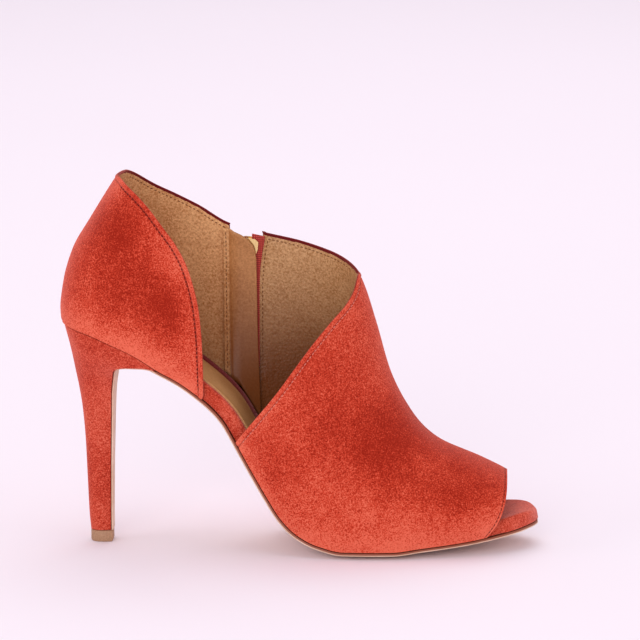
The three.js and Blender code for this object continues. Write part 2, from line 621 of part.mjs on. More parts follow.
const SOCK_FRONT = 0.86 * LENGTH;
const buildSock = () => featherSlab({
  from: HEEL_END_X + UPPER_WALL + SOCK_MARGIN + 3,
  to: SOCK_FRONT,
  inset: (x) => footbedInset(x) + SOCK_MARGIN,
  insetMedial: (x) => footbedInset(x) + SOCK_MARGIN_MEDIAL,
  low: FOOTBED_THICKNESS + CLEARANCE,
  high: FOOTBED_THICKNESS + CLEARANCE + SOCK_THICKNESS,
  sectionOf: squareSection,
});

// Heel's sections, each from its rear to the breast.
const HEEL_BOTTOM = TOP_PIECE_HEIGHT + CLEARANCE;
const heelCurve = (name, scale = 1) => curveThrough(rowNumbers(HEEL), column(HEEL, name, scale));
const heelRear = heelCurve('rear', LENGTH);
const heelRearUp = heelCurve('rearUp');
const heelBreast = heelCurve('breast', LENGTH);
const heelBreastUp = heelCurve('breastUp');
const heelHalf = heelCurve('width', TREAD_WIDTH);
const heelBreastHalf = heelCurve('breastWidth', TREAD_WIDTH);
const heelSeat = heelCurve('seat');
const heelHeight = (share) => HEEL_BOTTOM + share * (SEAT_HEIGHT - HEEL_BOTTOM);
const SEAT_BREAST_X = HEEL[HEEL.length - 1].breast * LENGTH;

function heelRing(s, grown = 0) {
  const steps = 10;
  const rear = new THREE.Vector3(heelRear(s), 0, heelHeight(heelRearUp(s)));
  const breast = new THREE.Vector3(heelBreast(s) + grown, 0, heelHeight(heelBreastUp(s)));
  const seat = Math.min(Math.max(heelSeat(s), 0), 1);
  const side = (name) => Array.from({ length: steps + 1 }, (_, i) => {
    const u = ((1 - Math.cos((Math.PI * i) / steps)) / 2) ** 1.15;
    const seatX = HEEL_END_X + u * (SEAT_BREAST_X - HEEL_END_X);
    const outline = name === 'lateral' ? featherLateral(seatX) : featherMedial(seatX);
    const stem = u < HEEL_WIDEST
      ? heelHalf(s) * Math.sqrt(1 - (1 - u / HEEL_WIDEST) ** 2.4)
      : heelHalf(s) + (heelBreastHalf(s) - heelHalf(s)) * ((u - HEEL_WIDEST) / (1 - HEEL_WIDEST)) ** 2;
    const half = stem * (1 - seat) + (Math.max(outline, 0) + UPPER_OVERHANG * Math.min(1, 20 * u)) * seat;
    const point = rear.clone().lerp(breast, u);
    point.y = half * (name === 'lateral' ? -1 : 1);
    point.z += HEEL_SEAT_BOW * HEEL_LIFT * seat * 4 * u * (1 - u);
    return point;
  });
  return [...side('lateral'), ...side('medial').reverse()];
}

function buildHeel() {
  const steps = 26;
  const rings = Array.from({ length: steps + 1 }, (_, i) => heelRing(((HEEL.length - 1) * i) / steps));
  const seat = Array.from({ length: 21 }, (_, i) => {
    const x = HEEL_END_X + ((SEAT_BREAST_X + 3 - HEEL_END_X) * i) / 20;
    return [x, featherHeight(x) - CLEARANCE];
  });
  const cutter = sidePrism([
    [-10, seat[0][1]], ...seat, [SEAT_BREAST_X + 3, BACK_HEIGHT], [-10, BACK_HEIGHT],
  ], -40, 40);
  return toGeometry(toSolid(loft(rings)).subtract(toSolid(cutter)));
}

function buildTopPiece() {
  const grown = BREAST_THICKNESS + CLEARANCE - 0.2;
  const ring = heelRing(0, grown);
  const middle = (HEEL[0].rear + HEEL[0].breast) * 0.5 * LENGTH + grown / 2;
  const level = (z, scale) => ring.map((p) =>
    new THREE.Vector3(middle + (p.x - middle) * scale, p.y * scale, z));
  return loft([level(0, 0.94), level(0.5, 1), level(TOP_PIECE_HEIGHT, 1)]);
}

// Front of the heel's own body, from the top piece up to the seat.
function breastCurve(steps) {
  return Array.from({ length: steps + 1 }, (_, i) => {
    const s = ((HEEL.length - 1) * i) / steps;
    return { x: heelBreast(s), z: heelHeight(heelBreastUp(s)), half: heelBreastHalf(s) };
  });
}

// Outsole: from the toe along the feather line to the heel's breast, then down its front.
function buildOutsole() {
  const e = 0.3;
  const SOLE_GAP = CLEARANCE + 0.1;
  const ring = (x, z, up, lateral, medial, thickness) =>
    squareSection(lateral, medial, -SOLE_GAP - thickness, -SOLE_GAP).map(([y, h]) =>
      new THREE.Vector3(x + up.x * h, y, z + up.y * h + camber(x, y)));
  const sole = stationsBetween(SEAT_BREAST_X + 1.5, TOE_TIP_X - 0.6).reverse().map((x) => {
    const slope = (featherHeight(x + e) - featherHeight(x - e)) / (2 * e);
    const up = new THREE.Vector2(-slope, 1).normalize();
    const lateral = Math.max(featherLateral(x), -tipY(x) + MIN_HALF_WIDTH);
    const medial = Math.max(featherMedial(x), tipY(x) + MIN_HALF_WIDTH);
    return ring(x, featherHeight(x), up, lateral, medial, OUTSOLE_THICKNESS - SOLE_GAP);
  });
  const front = breastCurve(22).reverse();
  const flap = front.slice(1).map((point, i) => {
    const before = front[i];
    const next = front[Math.min(i + 2, front.length - 1)];
    const run = new THREE.Vector2(next.x - before.x, next.z - before.z).normalize();
    return ring(point.x, point.z, new THREE.Vector2(run.y, -run.x), point.half, point.half, BREAST_THICKNESS);
  });
  return loft([...sole, ...flap]);
}

// Zip: two tapes in the opening, a chain over their meeting edges and a guard behind them.
const lerp = (a, b, share) => a + (b - a) * share;
const zipNet = (rows, columns, pointAt) => Array.from({ length: rows + 1 }, (_, i) =>
  Array.from({ length: columns + 1 }, (_, j) => pointAt(i / rows, j / columns)));
const CHAIN_DEPTH = -0.25;
const TAPE_DEPTH = CHAIN_DEPTH + CHAIN_THICKNESS + CLEARANCE;
const SLIDER_Z = collarHeightAt(LENGTH * SLOT[SLOT.length - 1].chain) - 9.2;
const TAPE_INSET = 1.7; // tapes' top below the collar

function buildTape(side) {
  const rear = side === 'rear';
  const sideGap = CLEARANCE + 0.15;
  const net = zipNet(PATCH_ROWS, 2, (up, across) => {
    const xAt = (z) => lerp(
      chainX(z) + (rear ? -TAPE_GAP : TAPE_GAP) / 2,
      rear ? slotRear(z) + sideGap : slotFront(z) - sideGap,
      across,
    );
    const roughX = xAt(SLIDER_Z);
    const top = rear ? guardTop(roughX) - 1.2 : collarHeightAt(roughX) - TAPE_INSET;
    const z = lerp(SLOT_BOTTOM + CLEARANCE, top, up);
    return [xAt(z), z];
  });
  return wallPatch(net, () => [TAPE_DEPTH, TAPE_DEPTH + TAPE_THICKNESS]);
}

function buildChain() {
  const top = SLIDER_Z + SLIDER_POST / 2 - CLEARANCE;
  const net = zipNet(PATCH_ROWS, 2, (up, across) => {
    const z = lerp(SLOT_BOTTOM + 1.5, top, up);
    return [chainX(z) + (across - 0.5) * CHAIN_WIDTH, z];
  });
  return wallPatch(net, () => [CHAIN_DEPTH, CHAIN_DEPTH + CHAIN_THICKNESS]);
}

// Guard: its rear edge is stitched to the lining, its front edge loose over the zip.
const guardXs = column(GUARD, 'along', LENGTH);
const guardTop = curveThrough(guardXs, column(GUARD, 'top').map(edgeHeight));
const guardLift = curveThrough(guardXs, column(GUARD, 'lift'));
const GUARD_ABOVE_FOOTBED = 3;

function buildGuard() {
  const e = 0.3;
  const net = zipNet(PATCH_ROWS, 9, (up, across) => {
    const x = lerp(guardXs[0], guardXs[guardXs.length - 1], across);
    const slope = (featherHeight(x + e) - featherHeight(x - e)) / (2 * e);
    const low = featherHeight(x) + (FOOTBED_THICKNESS + GUARD_ABOVE_FOOTBED) * Math.hypot(1, slope);
    return [x, lerp(low, guardTop(x), up)];
  });
  return wallPatch(net, (x) => {
    const depth = UPPER_WALL + CLEARANCE + 0.15 + guardLift(x);
    return [depth, depth + GUARD_THICKNESS];
  });
}

// Slider and pull tab, in a frame of their own: x along the boot, y out of the wall, z up the zip.
function sliderFrame() {
  const onZip = (z, depth) => wallPoint(chainX(z), z, depth);
  const origin = onZip(SLIDER_Z, 0);
  const up = onZip(SLIDER_Z + 3, 0).sub(onZip(SLIDER_Z - 3, 0)).normalize();
  const out = onZip(SLIDER_Z, -1).sub(origin);
  out.addScaledVector(up, -out.dot(up)).normalize();
  const across = new THREE.Vector3().crossVectors(out, up);
  return new THREE.Matrix4().makeBasis(across, out, up).setPosition(origin);
}
const PLATE_INNER = -CHAIN_DEPTH + CLEARANCE + 0.1;
const PLATE_OUTER = PLATE_INNER + SLIDER_PLATE;
const BAR_RADIUS = PULL_THICKNESS / 2;
const BAIL_OPENING = 2 * (BAR_RADIUS + CLEARANCE);
const BAR_Y = PLATE_OUTER + BAIL_OPENING / 2;

function buildSlider() {
  const half = SLIDER_WIDTH / 2;
  const tall = SLIDER_LENGTH / 2;
  const outline = [
    [-half * 0.62, -tall], [half * 0.62, -tall], [half * 0.72, -tall * 0.8], [half, tall * 0.1],
    [half, tall * 0.75], [half * 0.6, tall], [-half * 0.6, tall], [-half, tall * 0.75],
    [-half, tall * 0.1], [-half * 0.72, -tall * 0.8],
  ];
  const behind = -(TAPE_DEPTH + TAPE_THICKNESS + CLEARANCE + 0.15);
  const plate = toSolid(sidePrism(outline, PLATE_INNER, PLATE_OUTER));
  const inner = toSolid(sidePrism(outline, behind - 0.8, behind));
  const post = toSolid(sidePrism([
    [-SLIDER_POST / 2, SLIDER_POST / 2], [SLIDER_POST / 2, SLIDER_POST / 2],
    [SLIDER_POST / 2, tall * 0.85], [-SLIDER_POST / 2, tall * 0.85],
  ], behind - 0.4, PLATE_INNER + 0.4));
  const rise = PLATE_OUTER + BAIL_OPENING;
  const long = BAIL_LENGTH / 2;
  const bail = new THREE.Shape([
    [PLATE_OUTER - 0.4, -long], [rise * 0.8, -long], [rise + BAIL_THICKNESS, -long * 0.55],
    [rise + BAIL_THICKNESS, long * 0.55], [rise * 0.8, long], [PLATE_OUTER - 0.4, long],
    [PLATE_OUTER - 0.4, long - BAIL_THICKNESS], [rise * 0.75, long - BAIL_THICKNESS],
    [rise, long * 0.45], [rise, -long * 0.45], [rise * 0.75, BAIL_THICKNESS - long],
    [PLATE_OUTER - 0.4, BAIL_THICKNESS - long],
  ].map(([y, z]) => new THREE.Vector2(y, z)));
  const arch = new THREE.ExtrudeGeometry(bail, { depth: BAIL_WIDTH, bevelEnabled: false });
  arch.translate(0, 0, -BAIL_WIDTH / 2);
  arch.applyMatrix4(new THREE.Matrix4().makeBasis(
    new THREE.Vector3(0, 1, 0), new THREE.Vector3(0, 0, 1), new THREE.Vector3(1, 0, 0),
  ));
  const solid = plate.add(inner).add(post).add(toSolid(arch));
  return toGeometry(solid).applyMatrix4(sliderFrame());
}

function buildPull() {
  const half = PULL_WIDTH / 2;
  const eye = BAIL_WIDTH / 2 + 0.4;
  const reach = BAIL_LENGTH / 2 + 1.3;
  const shape = new THREE.Shape([
    [-half * 0.8, -PULL_LENGTH], [half * 0.8, -PULL_LENGTH], [half, -PULL_LENGTH * 0.93],
    [half, -PULL_LENGTH * 0.6], [half * 0.75, -PULL_LENGTH * 0.35], [half * 0.75, 0],
    [-half * 0.75, 0], [-half * 0.75, -PULL_LENGTH * 0.35], [-half, -PULL_LENGTH * 0.6],
    [-half, -PULL_LENGTH * 0.93],
  ].map(([x, z]) => new THREE.Vector2(x, z)));
  shape.holes.push(new THREE.Path([
    [-eye, -BAR_RADIUS], [-eye, -reach], [eye, -reach], [eye, -BAR_RADIUS],
  ].map(([x, z]) => new THREE.Vector2(x, z))));
  const plate = new THREE.ExtrudeGeometry(shape, { depth: PULL_THICKNESS, bevelEnabled: false });
  plate.rotateX(Math.PI / 2);
  plate.translate(0, BAR_Y + PULL_THICKNESS / 2, 0);
  const bar = new THREE.CylinderGeometry(BAR_RADIUS, BAR_RADIUS, PULL_WIDTH * 0.75, 12);
  bar.rotateZ(Math.PI / 2);
  bar.translate(0, BAR_Y, 0);
  return toGeometry(toSolid(plate).add(toSolid(bar))).applyMatrix4(sliderFrame());
}

const suede = new THREE.MeshStandardMaterial({ color: '#cc4a3f', roughness: 0.95 });
const sock = new THREE.MeshStandardMaterial({ color: '#a8794f', roughness: 0.6 });
const guardLeather = new THREE.MeshStandardMaterial({ color: '#b0764a', roughness: 0.5 });
const soleLeather = new THREE.MeshStandardMaterial({ color: '#d8b08c', roughness: 0.55 });
const rubber = new THREE.MeshStandardMaterial({ color: '#ad8466', roughness: 0.7 });
const tape = new THREE.MeshStandardMaterial({ color: '#a8302c', roughness: 0.9 });
const nylon = new THREE.MeshStandardMaterial({ color: '#9c2c2a', roughness: 0.5 });
const brass = new THREE.MeshStandardMaterial({ color: '#d9b36a', roughness: 0.3, metalness: 1 });

const group = new THREE.Group();
function add(name, geometry, material) {
  const mesh = new THREE.Mesh(geometry, material);
  mesh.name = name;
  group.add(mesh);
}
add('upper', buildUpper(), suede);
add('footbed', buildFootbed(), suede);
add('sock_lining', buildSock(), sock);
add('outsole', buildOutsole(), soleLeather);
add('heel', buildHeel(), suede);
add('top_piece', buildTopPiece(), rubber);
add('zip_tape_rear', buildTape('rear'), tape);
add('zip_tape_front', buildTape('front'), tape);
add('zip_chain', buildChain(), nylon);
add('zip_guard', buildGuard(), guardLeather);
add('zip_slider', buildSlider(), brass);
add('zip_pull_tab', buildPull(), brass);

// Origin on the floor, under the middle of the whole boot.
const extent = new THREE.Box3().setFromObject(group);
const middle = extent.getCenter(new THREE.Vector3());
group.position.set(-middle.x, -middle.y, -extent.min.z);

export default group;
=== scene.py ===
# A peep toe ankle boot in coral suede, on a covered stiletto heel, standing empty on a pale floor.
# Lengths are in millimetres, counted from the heel's back, midline and floor, until a mesh is made.
import math

import bpy
import numpy as np
from mathutils.kdtree import KDTree
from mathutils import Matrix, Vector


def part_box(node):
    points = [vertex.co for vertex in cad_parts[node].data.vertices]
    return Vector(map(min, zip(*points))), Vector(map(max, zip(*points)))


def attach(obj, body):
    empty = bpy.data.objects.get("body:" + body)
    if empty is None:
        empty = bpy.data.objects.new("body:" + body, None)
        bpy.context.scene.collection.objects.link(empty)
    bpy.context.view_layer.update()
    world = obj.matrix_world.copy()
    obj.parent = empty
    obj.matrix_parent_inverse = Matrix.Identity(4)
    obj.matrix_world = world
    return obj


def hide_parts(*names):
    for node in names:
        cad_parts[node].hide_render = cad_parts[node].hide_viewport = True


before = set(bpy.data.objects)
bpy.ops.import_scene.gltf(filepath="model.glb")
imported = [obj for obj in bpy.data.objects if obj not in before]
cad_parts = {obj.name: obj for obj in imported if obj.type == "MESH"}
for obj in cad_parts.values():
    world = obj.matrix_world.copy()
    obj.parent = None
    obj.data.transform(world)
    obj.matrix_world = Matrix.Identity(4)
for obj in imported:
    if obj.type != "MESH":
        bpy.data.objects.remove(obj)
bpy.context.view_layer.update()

# The last: the foot-shaped form of moulded plastic that the whole boot is made on. Its feather line
# is the sharp edge between its bottom and its sides, and the upper is pulled down over that line.
LENGTH, TREAD_WIDTH, GIRTH_WIDTH = 218.0, 72.5, 74.0
HEEL_LIFT, BACK_RISE, THROAT_HEIGHT = 101.2, 66.6, 124.5
SOLE_THICK = 1.8
SEAT_HEIGHT = SOLE_THICK + HEEL_LIFT

# Columns: along, lift, lateral, medial, as shares of length, heel lift and tread width.
FEATHER = np.array([
    (0.0037, 1, 0, 0), (0.0055, 1, 0.069, 0.069), (0.0115, 0.996, 0.138, 0.138),
    (0.0275, 0.9885, 0.224, 0.222), (0.0596, 0.9723, 0.303, 0.3), (0.1147, 0.9269, 0.347, 0.34),
    (0.1651, 0.8755, 0.352, 0.339), (0.211, 0.8113, 0.343, 0.321), (0.2523, 0.761, 0.331, 0.302),
    (0.289, 0.7035, 0.323, 0.288), (0.3211, 0.6445, 0.32, 0.281), (0.3486, 0.577, 0.324, 0.281),
    (0.3716, 0.4921, 0.334, 0.287), (0.4037, 0.3676, 0.353, 0.306), (0.4358, 0.249, 0.382, 0.337),
    (0.4679, 0.1413, 0.411, 0.372), (0.5, 0.0731, 0.439, 0.411), (0.5413, 0.0257, 0.466, 0.452),
    (0.5963, 0, 0.486, 0.491), (0.6468, 0, 0.49, 0.51), (0.6972, 0, 0.479, 0.517),
    (0.7569, 0.0148, 0.446, 0.501), (0.8257, 0.0346, 0.39, 0.455), (0.8945, 0.0583, 0.313, 0.375),
    (0.9312, 0.0721, 0.255, 0.314), (0.9541, 0.081, 0.207, 0.268), (0.9771, 0.0909, 0.138, 0.204),
    (0.9908, 0.0958, 0.072, 0.143), (0.9977, 0.0988, 0.007, 0.09), (1, 0.0998, -0.035, 0.045),
])
# Columns: foot, back, head, crest, lateral, medial, widest, round, peak, bow, from the toe to the collar.
LAST = np.array([
    (0.945, 0, 0.978, 0.225, 0.26, 0.322, 0.32, 2, 2.3, 0.08),
    (0.8922, 0, 0.9335, 0.2715, 0.322, 0.382, 0.32, 2, 2.3, 0.095),
    (0.8257, 0, 0.8807, 0.317, 0.393, 0.456, 0.3, 2, 2.25, 0.06),
    (0.7569, 0, 0.8326, 0.3534, 0.447, 0.502, 0.26, 2, 2.15, 0.03),
    (0.6881, 0, 0.7913, 0.3936, 0.483, 0.523, 0.23, 2, 2.05, 0.01),
    (0.6239, 0, 0.7546, 0.4498, 0.498, 0.521, 0.21, 2, 1.95, 0),
    (0.5596, 0, 0.726, 0.5221, 0.496, 0.512, 0.21, 2, 1.85, 0),
    (0.5046, 0, 0.6994, 0.6145, 0.485, 0.49, 0.23, 2, 1.8, 0),
    (0.4633, 0, 0.6778, 0.7189, 0.468, 0.466, 0.26, 2, 1.8, 0),
    (0.4266, 0, 0.6576, 0.833, 0.449, 0.444, 0.3, 2, 1.85, 0),
    (0.3945, 0, 0.6402, 0.9317, 0.434, 0.426, 0.34, 2, 1.9, 0),
    (0.3624, 0, 0.6206, 1.02, 0.423, 0.414, 0.38, 2, 1.95, 0),
    (0.3211, 0, 0.61, 1.0763, 0.416, 0.408, 0.42, 2, 2, 0),
    (0.2661, 0, 0.6023, 1.1245, 0.411, 0.405, 0.44, 2, 2.05, 0),
    (0.211, 0, 0.5954, 1.1727, 0.406, 0.403, 0.45, 2.2, 2.1, 0),
    (0.1514, 0, 0.5885, 1.2169, 0.402, 0.401, 0.46, 2.5, 2.15, 0),
    (0.0917, 0, 0.5817, 1.261, 0.398, 0.4, 0.46, 3, 2.2, 0),
    (0.0413, 0, 0.5743, 1.3012, 0.394, 0.398, 0.45, 3.5, 2.2, 0),
    (0.0037, 0, 0.5689, 1.3253, 0.39, 0.396, 0.44, 4, 2.2, 0),
    (0.0005, 0.092, 0.5646, 1.3454, 0.387, 0.394, 0.44, 4.1, 2.2, 0),
    (0.0078, 0.277, 0.5573, 1.3815, 0.383, 0.391, 0.45, 4.1, 2.2, 0),
    (0.0275, 0.493, 0.5482, 1.4217, 0.378, 0.388, 0.47, 4, 2.2, 0),
    (0.0645, 0.702, 0.539, 1.4618, 0.373, 0.385, 0.49, 3.9, 2.2, 0),
    (0.1035, 0.909, 0.5298, 1.502, 0.369, 0.382, 0.5, 3.8, 2.2, 0),
    (0.142, 1.105, 0.5183, 1.5502, 0.366, 0.38, 0.5, 3.8, 2.2, 0),
])
SEAT_END = 18  # row where the sections leave the seat and climb the heel's back
OVERHANG = 0.6  # the last stands this far out over the feather line


def smooth_curve(places, values):
    """Curve through the rows of a table that never swings past them."""
    xs, ys = np.asarray(places, float), np.asarray(values, float)
    step = np.diff(xs)
    secant = np.diff(ys) / step
    slope = np.zeros_like(ys)
    slope[0], slope[-1] = secant[0], secant[-1]
    rising = secant[:-1] * secant[1:] > 0
    safe = np.where(rising, secant[:-1], 1), np.where(rising, secant[1:], 1)
    before, after = 2 * step[1:] + step[:-1], step[1:] + 2 * step[:-1]
    slope[1:-1] = np.where(rising, (before + after) / (before / safe[0] + after / safe[1]), 0)

    def at(x):
        x = np.asarray(x, float)
        i = np.clip(np.searchsorted(xs, x) - 1, 0, len(xs) - 2)
        t = (x - xs[i]) / step[i]
        inside = ((2 * t**3 - 3 * t**2 + 1) * ys[i] + (t**3 - 2 * t**2 + t) * step[i] * slope[i]
                  + (3 * t**2 - 2 * t**3) * ys[i + 1] + (t**3 - t**2) * step[i] * slope[i + 1])
        early = ys[0] + slope[0] * (x - xs[0])
        late = ys[-1] + slope[-1] * (x - xs[-1])
        return np.where(t < 0, early, np.where(t > 1, late, inside))

    return at


feather_x = FEATHER[:, 0] * LENGTH
feather_lift = smooth_curve(feather_x, FEATHER[:, 1] * HEEL_LIFT)
feather_lateral = smooth_curve(feather_x, FEATHER[:, 2] * TREAD_WIDTH)
feather_medial = smooth_curve(feather_x, FEATHER[:, 3] * TREAD_WIDTH)
HEEL_END_X = feather_x[0]
CAMBER, FLAT_SHARE = 1.7, 0.45  # rise of the ball's edges, and how much of its half width is flat
camber_share = smooth_curve(np.array([0, 0.39, 0.56, 0.72, 0.88, 1]) * LENGTH, [0, 0, 1, 1, 0.3, 0])
last_curves = [
    smooth_curve(np.arange(len(LAST)), LAST[:, i] * scale)
    for i, scale in enumerate(
        (LENGTH, BACK_RISE, LENGTH, THROAT_HEIGHT, GIRTH_WIDTH, GIRTH_WIDTH, 1, 1, 1, 1))
]


def feather_height(x):
    return SOLE_THICK + feather_lift(x)


def camber(x, y):
    """The ball's underside is flat in its middle and rises to its edges."""
    edge = np.where(y < 0, feather_lateral(x), feather_medial(x))
    out = np.clip((np.abs(y) / np.maximum(edge, 1) - FLAT_SHARE) / (1 - FLAT_SHARE), 0, 1.1)
    return CAMBER * np.maximum(camber_share(np.clip(x, 0, LENGTH)), 0) * out**2


def section_line(s):
    """Foot, run, length and forward bulge of the last's sections at rows s."""
    foot_x, back, head_x, head_z = (curve(s) for curve in last_curves[:4])
    foot_z = np.where(s <= SEAT_END, feather_height(foot_x), SEAT_HEIGHT + back)
    run_x, run_z = head_x - foot_x, head_z - foot_z
    length = np.hypot(run_x, run_z)
    return foot_x, foot_z, run_x, run_z, length, last_curves[9](s) * length


def half_width(s, t, side):
    """Distance from the midline to the last's wall; side is -1 for the outer side and 1 for the inner."""
    foot_x = last_curves[0](s)
    widest = np.where(side < 0, last_curves[4](s), last_curves[5](s))
    widest_at, rounding, peak = (curve(s) for curve in last_curves[6:9])
    edge = np.where(side < 0, feather_lateral(foot_x), feather_medial(foot_x))
    edge = np.where(s <= SEAT_END, np.maximum(edge, 0) + OVERHANG * np.minimum(1, foot_x - HEEL_END_X), 0)
    edge = np.minimum(edge, widest)
    gone = np.clip(1 - t / widest_at, 0, 1)
    below = np.sqrt(edge**2 + (widest**2 - edge**2) * (1 - gone**rounding))
    climbed = np.clip((t - widest_at) / (1 - widest_at), 0, 1)
    return np.where(t <= widest_at, below, widest * np.sqrt(1 - climbed**peak))


def last_point(s, t, side):
    """Point of the last's wall at section s and share t of its height."""
    s, t, side = np.broadcast_arrays(*(np.asarray(v, float) for v in (s, t, side)))
    foot_x, foot_z, run_x, run_z, length, bow = section_line(s)
    y = half_width(s, t, side) * side
    bulge = bow * 4 * t * (1 - t) / length
    return np.stack([
        foot_x + run_x * t + run_z * bulge,
        y,
        foot_z + run_z * t - run_x * bulge + camber(foot_x, y) * np.maximum(1 - 4 * t, 0),
    ], -1)


def on_last(x, z):
    """Section s and share t of the last at points of the side view."""
    x, z = np.broadcast_arrays(np.asarray(x, float), np.asarray(z, float))
    low, high = np.zeros_like(x), np.full_like(x, len(LAST) - 1)
    for _ in range(34):  # halvings, down to a billionth of a row
        middle = (low + high) / 2
        foot_x, foot_z, run_x, run_z, length, bow = section_line(middle)
        t = ((x - foot_x) * run_x + (z - foot_z) * run_z) / length**2
        off = ((x - foot_x) * run_z - (z - foot_z) * run_x) / length
        ahead = off - bow * 4 * t * (1 - t) > 0
        high, low = np.where(ahead, middle, high), np.where(ahead, low, middle)
    return middle, t


# The boot stands in the frame where its top piece stands.
TOP_PIECE_REAR = 0.0596 * LENGTH
top_low, top_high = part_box("top_piece")
frame_shift = np.array([TOP_PIECE_REAR - top_low.x * 1000, -(top_low.y + top_high.y) * 500, 0])


# The upper: one hollow shell of sueded goat leather, pulled over the last with its linings and cut
# away between the counter and the vamp on the outer side. Its edges are folded in and sewn down.
BACK_HEIGHT = SEAT_HEIGHT + BACK_RISE
TOE_OPENING = 1  # row of the last where the vamp ends
EDGES = {  # columns: along, a share of length, and up, from the throat at 0 to the counter's peak at 1
    "counter": [(0.1335, 1), (0.1711, 0.8618), (0.1995, 0.7183), (0.2239, 0.5603), (0.2509, 0.3826),
                (0.2739, 0.1694), (0.2872, -0.0312), (0.2968, -0.2391), (0.3014, -0.4325),
                (0.3041, -0.6445), (0.305, -0.8899), (0.305, -1.4138)],
    "vamp": [(0.332, -1.8816), (0.3752, -1.604), (0.4037, -1.4284), (0.4587, -1.0967),
             (0.4904, -0.8857), (0.533, -0.6113), (0.5725, -0.3888), (0.6005, -0.2464),
             (0.6165, -0.1247), (0.6239, 0)],
    "collar": [(0.1335, 1), (0.1849, 0.82), (0.2362, 0.6986), (0.2821, 0.5863), (0.344, 0.4127),
               (0.4151, 0.3233), (0.4927, 0.2505), (0.5376, 0.1954), (0.5739, 0.1424),
               (0.5986, 0.0904), (0.6142, 0.0437), (0.6239, 0)],
}
# The zip's opening: heights as in the edges, then its rear and front and the chain's middle along.
SLOT_UP = (-1.09, -0.624, -0.312, -0.083, 0.104, 0.291, 0.728)
SLOT_REAR = (0.344, 0.344, 0.344, 0.3444, 0.345, 0.3455, 0.3455)
SLOT_FRONT = (0.4025, 0.4035, 0.404, 0.406, 0.411, 0.417, 0.417)
SLOT_CHAIN = (0.3755, 0.378, 0.3805, 0.3835, 0.386, 0.3885, 0.3885)


def edge_height(up):
    return THROAT_HEIGHT + np.asarray(up) * (BACK_HEIGHT - THROAT_HEIGHT)


def edge_line(name, steps=240):
    """Side view of an edge of the upper."""
    rows = np.array(EDGES[name])
    s = np.linspace(0, len(rows) - 1, steps + 1)
    along, up = (smooth_curve(np.arange(len(rows)), rows[:, i])(s) for i in (0, 1))
    return along * LENGTH, edge_height(up)


slot_heights = edge_height(SLOT_UP)
SLOT_BOTTOM = slot_heights[0]
slot_rear, slot_front, chain_x = (
    smooth_curve(slot_heights, np.array(c) * LENGTH) for c in (SLOT_REAR, SLOT_FRONT, SLOT_CHAIN)
)


def edge_on_last(name):
    """An edge as sections and shares, closed off at the counter's back where it starts at the peak."""
    s, t = on_last(*edge_line(name))
    if name == "vamp":
        keep = t >= 0
        order = np.argsort(t[keep])
        return s[keep][order], np.clip(t[keep][order], 0, 1)
    rows = np.linspace(SEAT_END, len(LAST) - 1, 400)
    foot_x, foot_z, *_ = section_line(rows)
    peak = np.interp(BACK_HEIGHT, foot_z, rows)
    keep = (t >= 0) & (s < peak)
    order = np.argsort(s[keep])
    return np.append(s[keep][order], peak), np.append(np.clip(t[keep][order], 0, 1), 0)


counter_s, counter_t = edge_on_last("counter")
collar_s, collar_t = edge_on_last("collar")
vamp_s, vamp_t = edge_on_last("vamp")
throat_s, peak_s = float(np.interp(1, vamp_t, vamp_s)), float(counter_s[-1])
counter_s[0], counter_t[0] = np.interp(0, counter_t[:6], counter_s[:6]), 0


def eased(steps):
    return (1 - np.cos(np.pi * np.linspace(0, 1, steps + 1))) / 2


def grid_faces(rows, columns, start, flip):
    i, j = np.meshgrid(np.arange(rows - 1), np.arange(columns - 1), indexing="ij")
    a = start + i * columns + j
    order = [a, a + columns, a + columns + 1, a + 1] if flip else [a, a + 1, a + columns + 1, a + columns]
    return np.stack(order, -1).reshape(-1, 4)


def corner_normals(points, faces):
    """Smooth normals of a mesh of quads and triangles."""
    normal = np.zeros_like(points)
    across = np.cross(points[faces[:, 2]] - points[faces[:, 0]], points[faces[:, -1]] - points[faces[:, 1]])
    for column in range(faces.shape[1]):
        np.add.at(normal, faces[:, column], across)
    return normal / np.maximum(np.linalg.norm(normal, axis=1, keepdims=True), 1e-12)


ACROSS, VAMP_ROWS, QUARTER_ROWS = 104, 84, 120  # faces from feather line to edge, and along each part
share = eased(ACROSS)
vamp_rows = eased(VAMP_ROWS)
vamp_sections = TOE_OPENING + (throat_s - TOE_OPENING) * vamp_rows
quarter_share = 0.5 * eased(QUARTER_ROWS) + 0.5 * np.linspace(0, 1, QUARTER_ROWS + 1)
quarter_sections = throat_s + (peak_s - throat_s) * quarter_share
quarter_sections[np.argmin(np.abs(quarter_sections - SEAT_END))] = SEAT_END

toe_to_edge = np.interp(share, vamp_t, vamp_s) - TOE_OPENING
vamp_grid = last_point(TOE_OPENING + toe_to_edge * vamp_rows[:, None], share[None, :], -1)
inner_sections = np.concatenate([vamp_sections, quarter_sections[1:]])
inner_top = np.where(inner_sections <= throat_s, 1, np.interp(inner_sections, collar_s, collar_t))
inner_grid = last_point(inner_sections[:, None], inner_top[:, None] * share[None, :], 1)
counter_sections = np.append(counter_s[0], quarter_sections[quarter_sections > counter_s[0] + 0.02])
counter_top = np.interp(counter_sections, counter_s, counter_t)
counter_grid = last_point(counter_sections[:, None], counter_top[:, None] * share[None, :], -1)

points, faces = [], []
for grid, flip in ((vamp_grid, False), (inner_grid, True), (counter_grid, False)):
    faces.append(grid_faces(*grid.shape[:2], sum(len(p) for p in points), flip))
    points.append(grid.reshape(-1, 3))
points, faces = np.concatenate(points), np.concatenate(faces)
points[np.abs(points[:, 1]) < 1e-6, 1] = 0


def welded(points, faces):
    """Joins points that lie together and drops the faces that vanish."""
    _, first, order = np.unique(np.round(points, 3), axis=0, return_index=True, return_inverse=True)
    faces = order.reshape(-1)[faces]
    sides = [faces[:, i] != faces[:, (i + 1) % faces.shape[1]] for i in range(faces.shape[1])]
    return points[first], faces[sum(side.astype(int) for side in sides) >= 3]


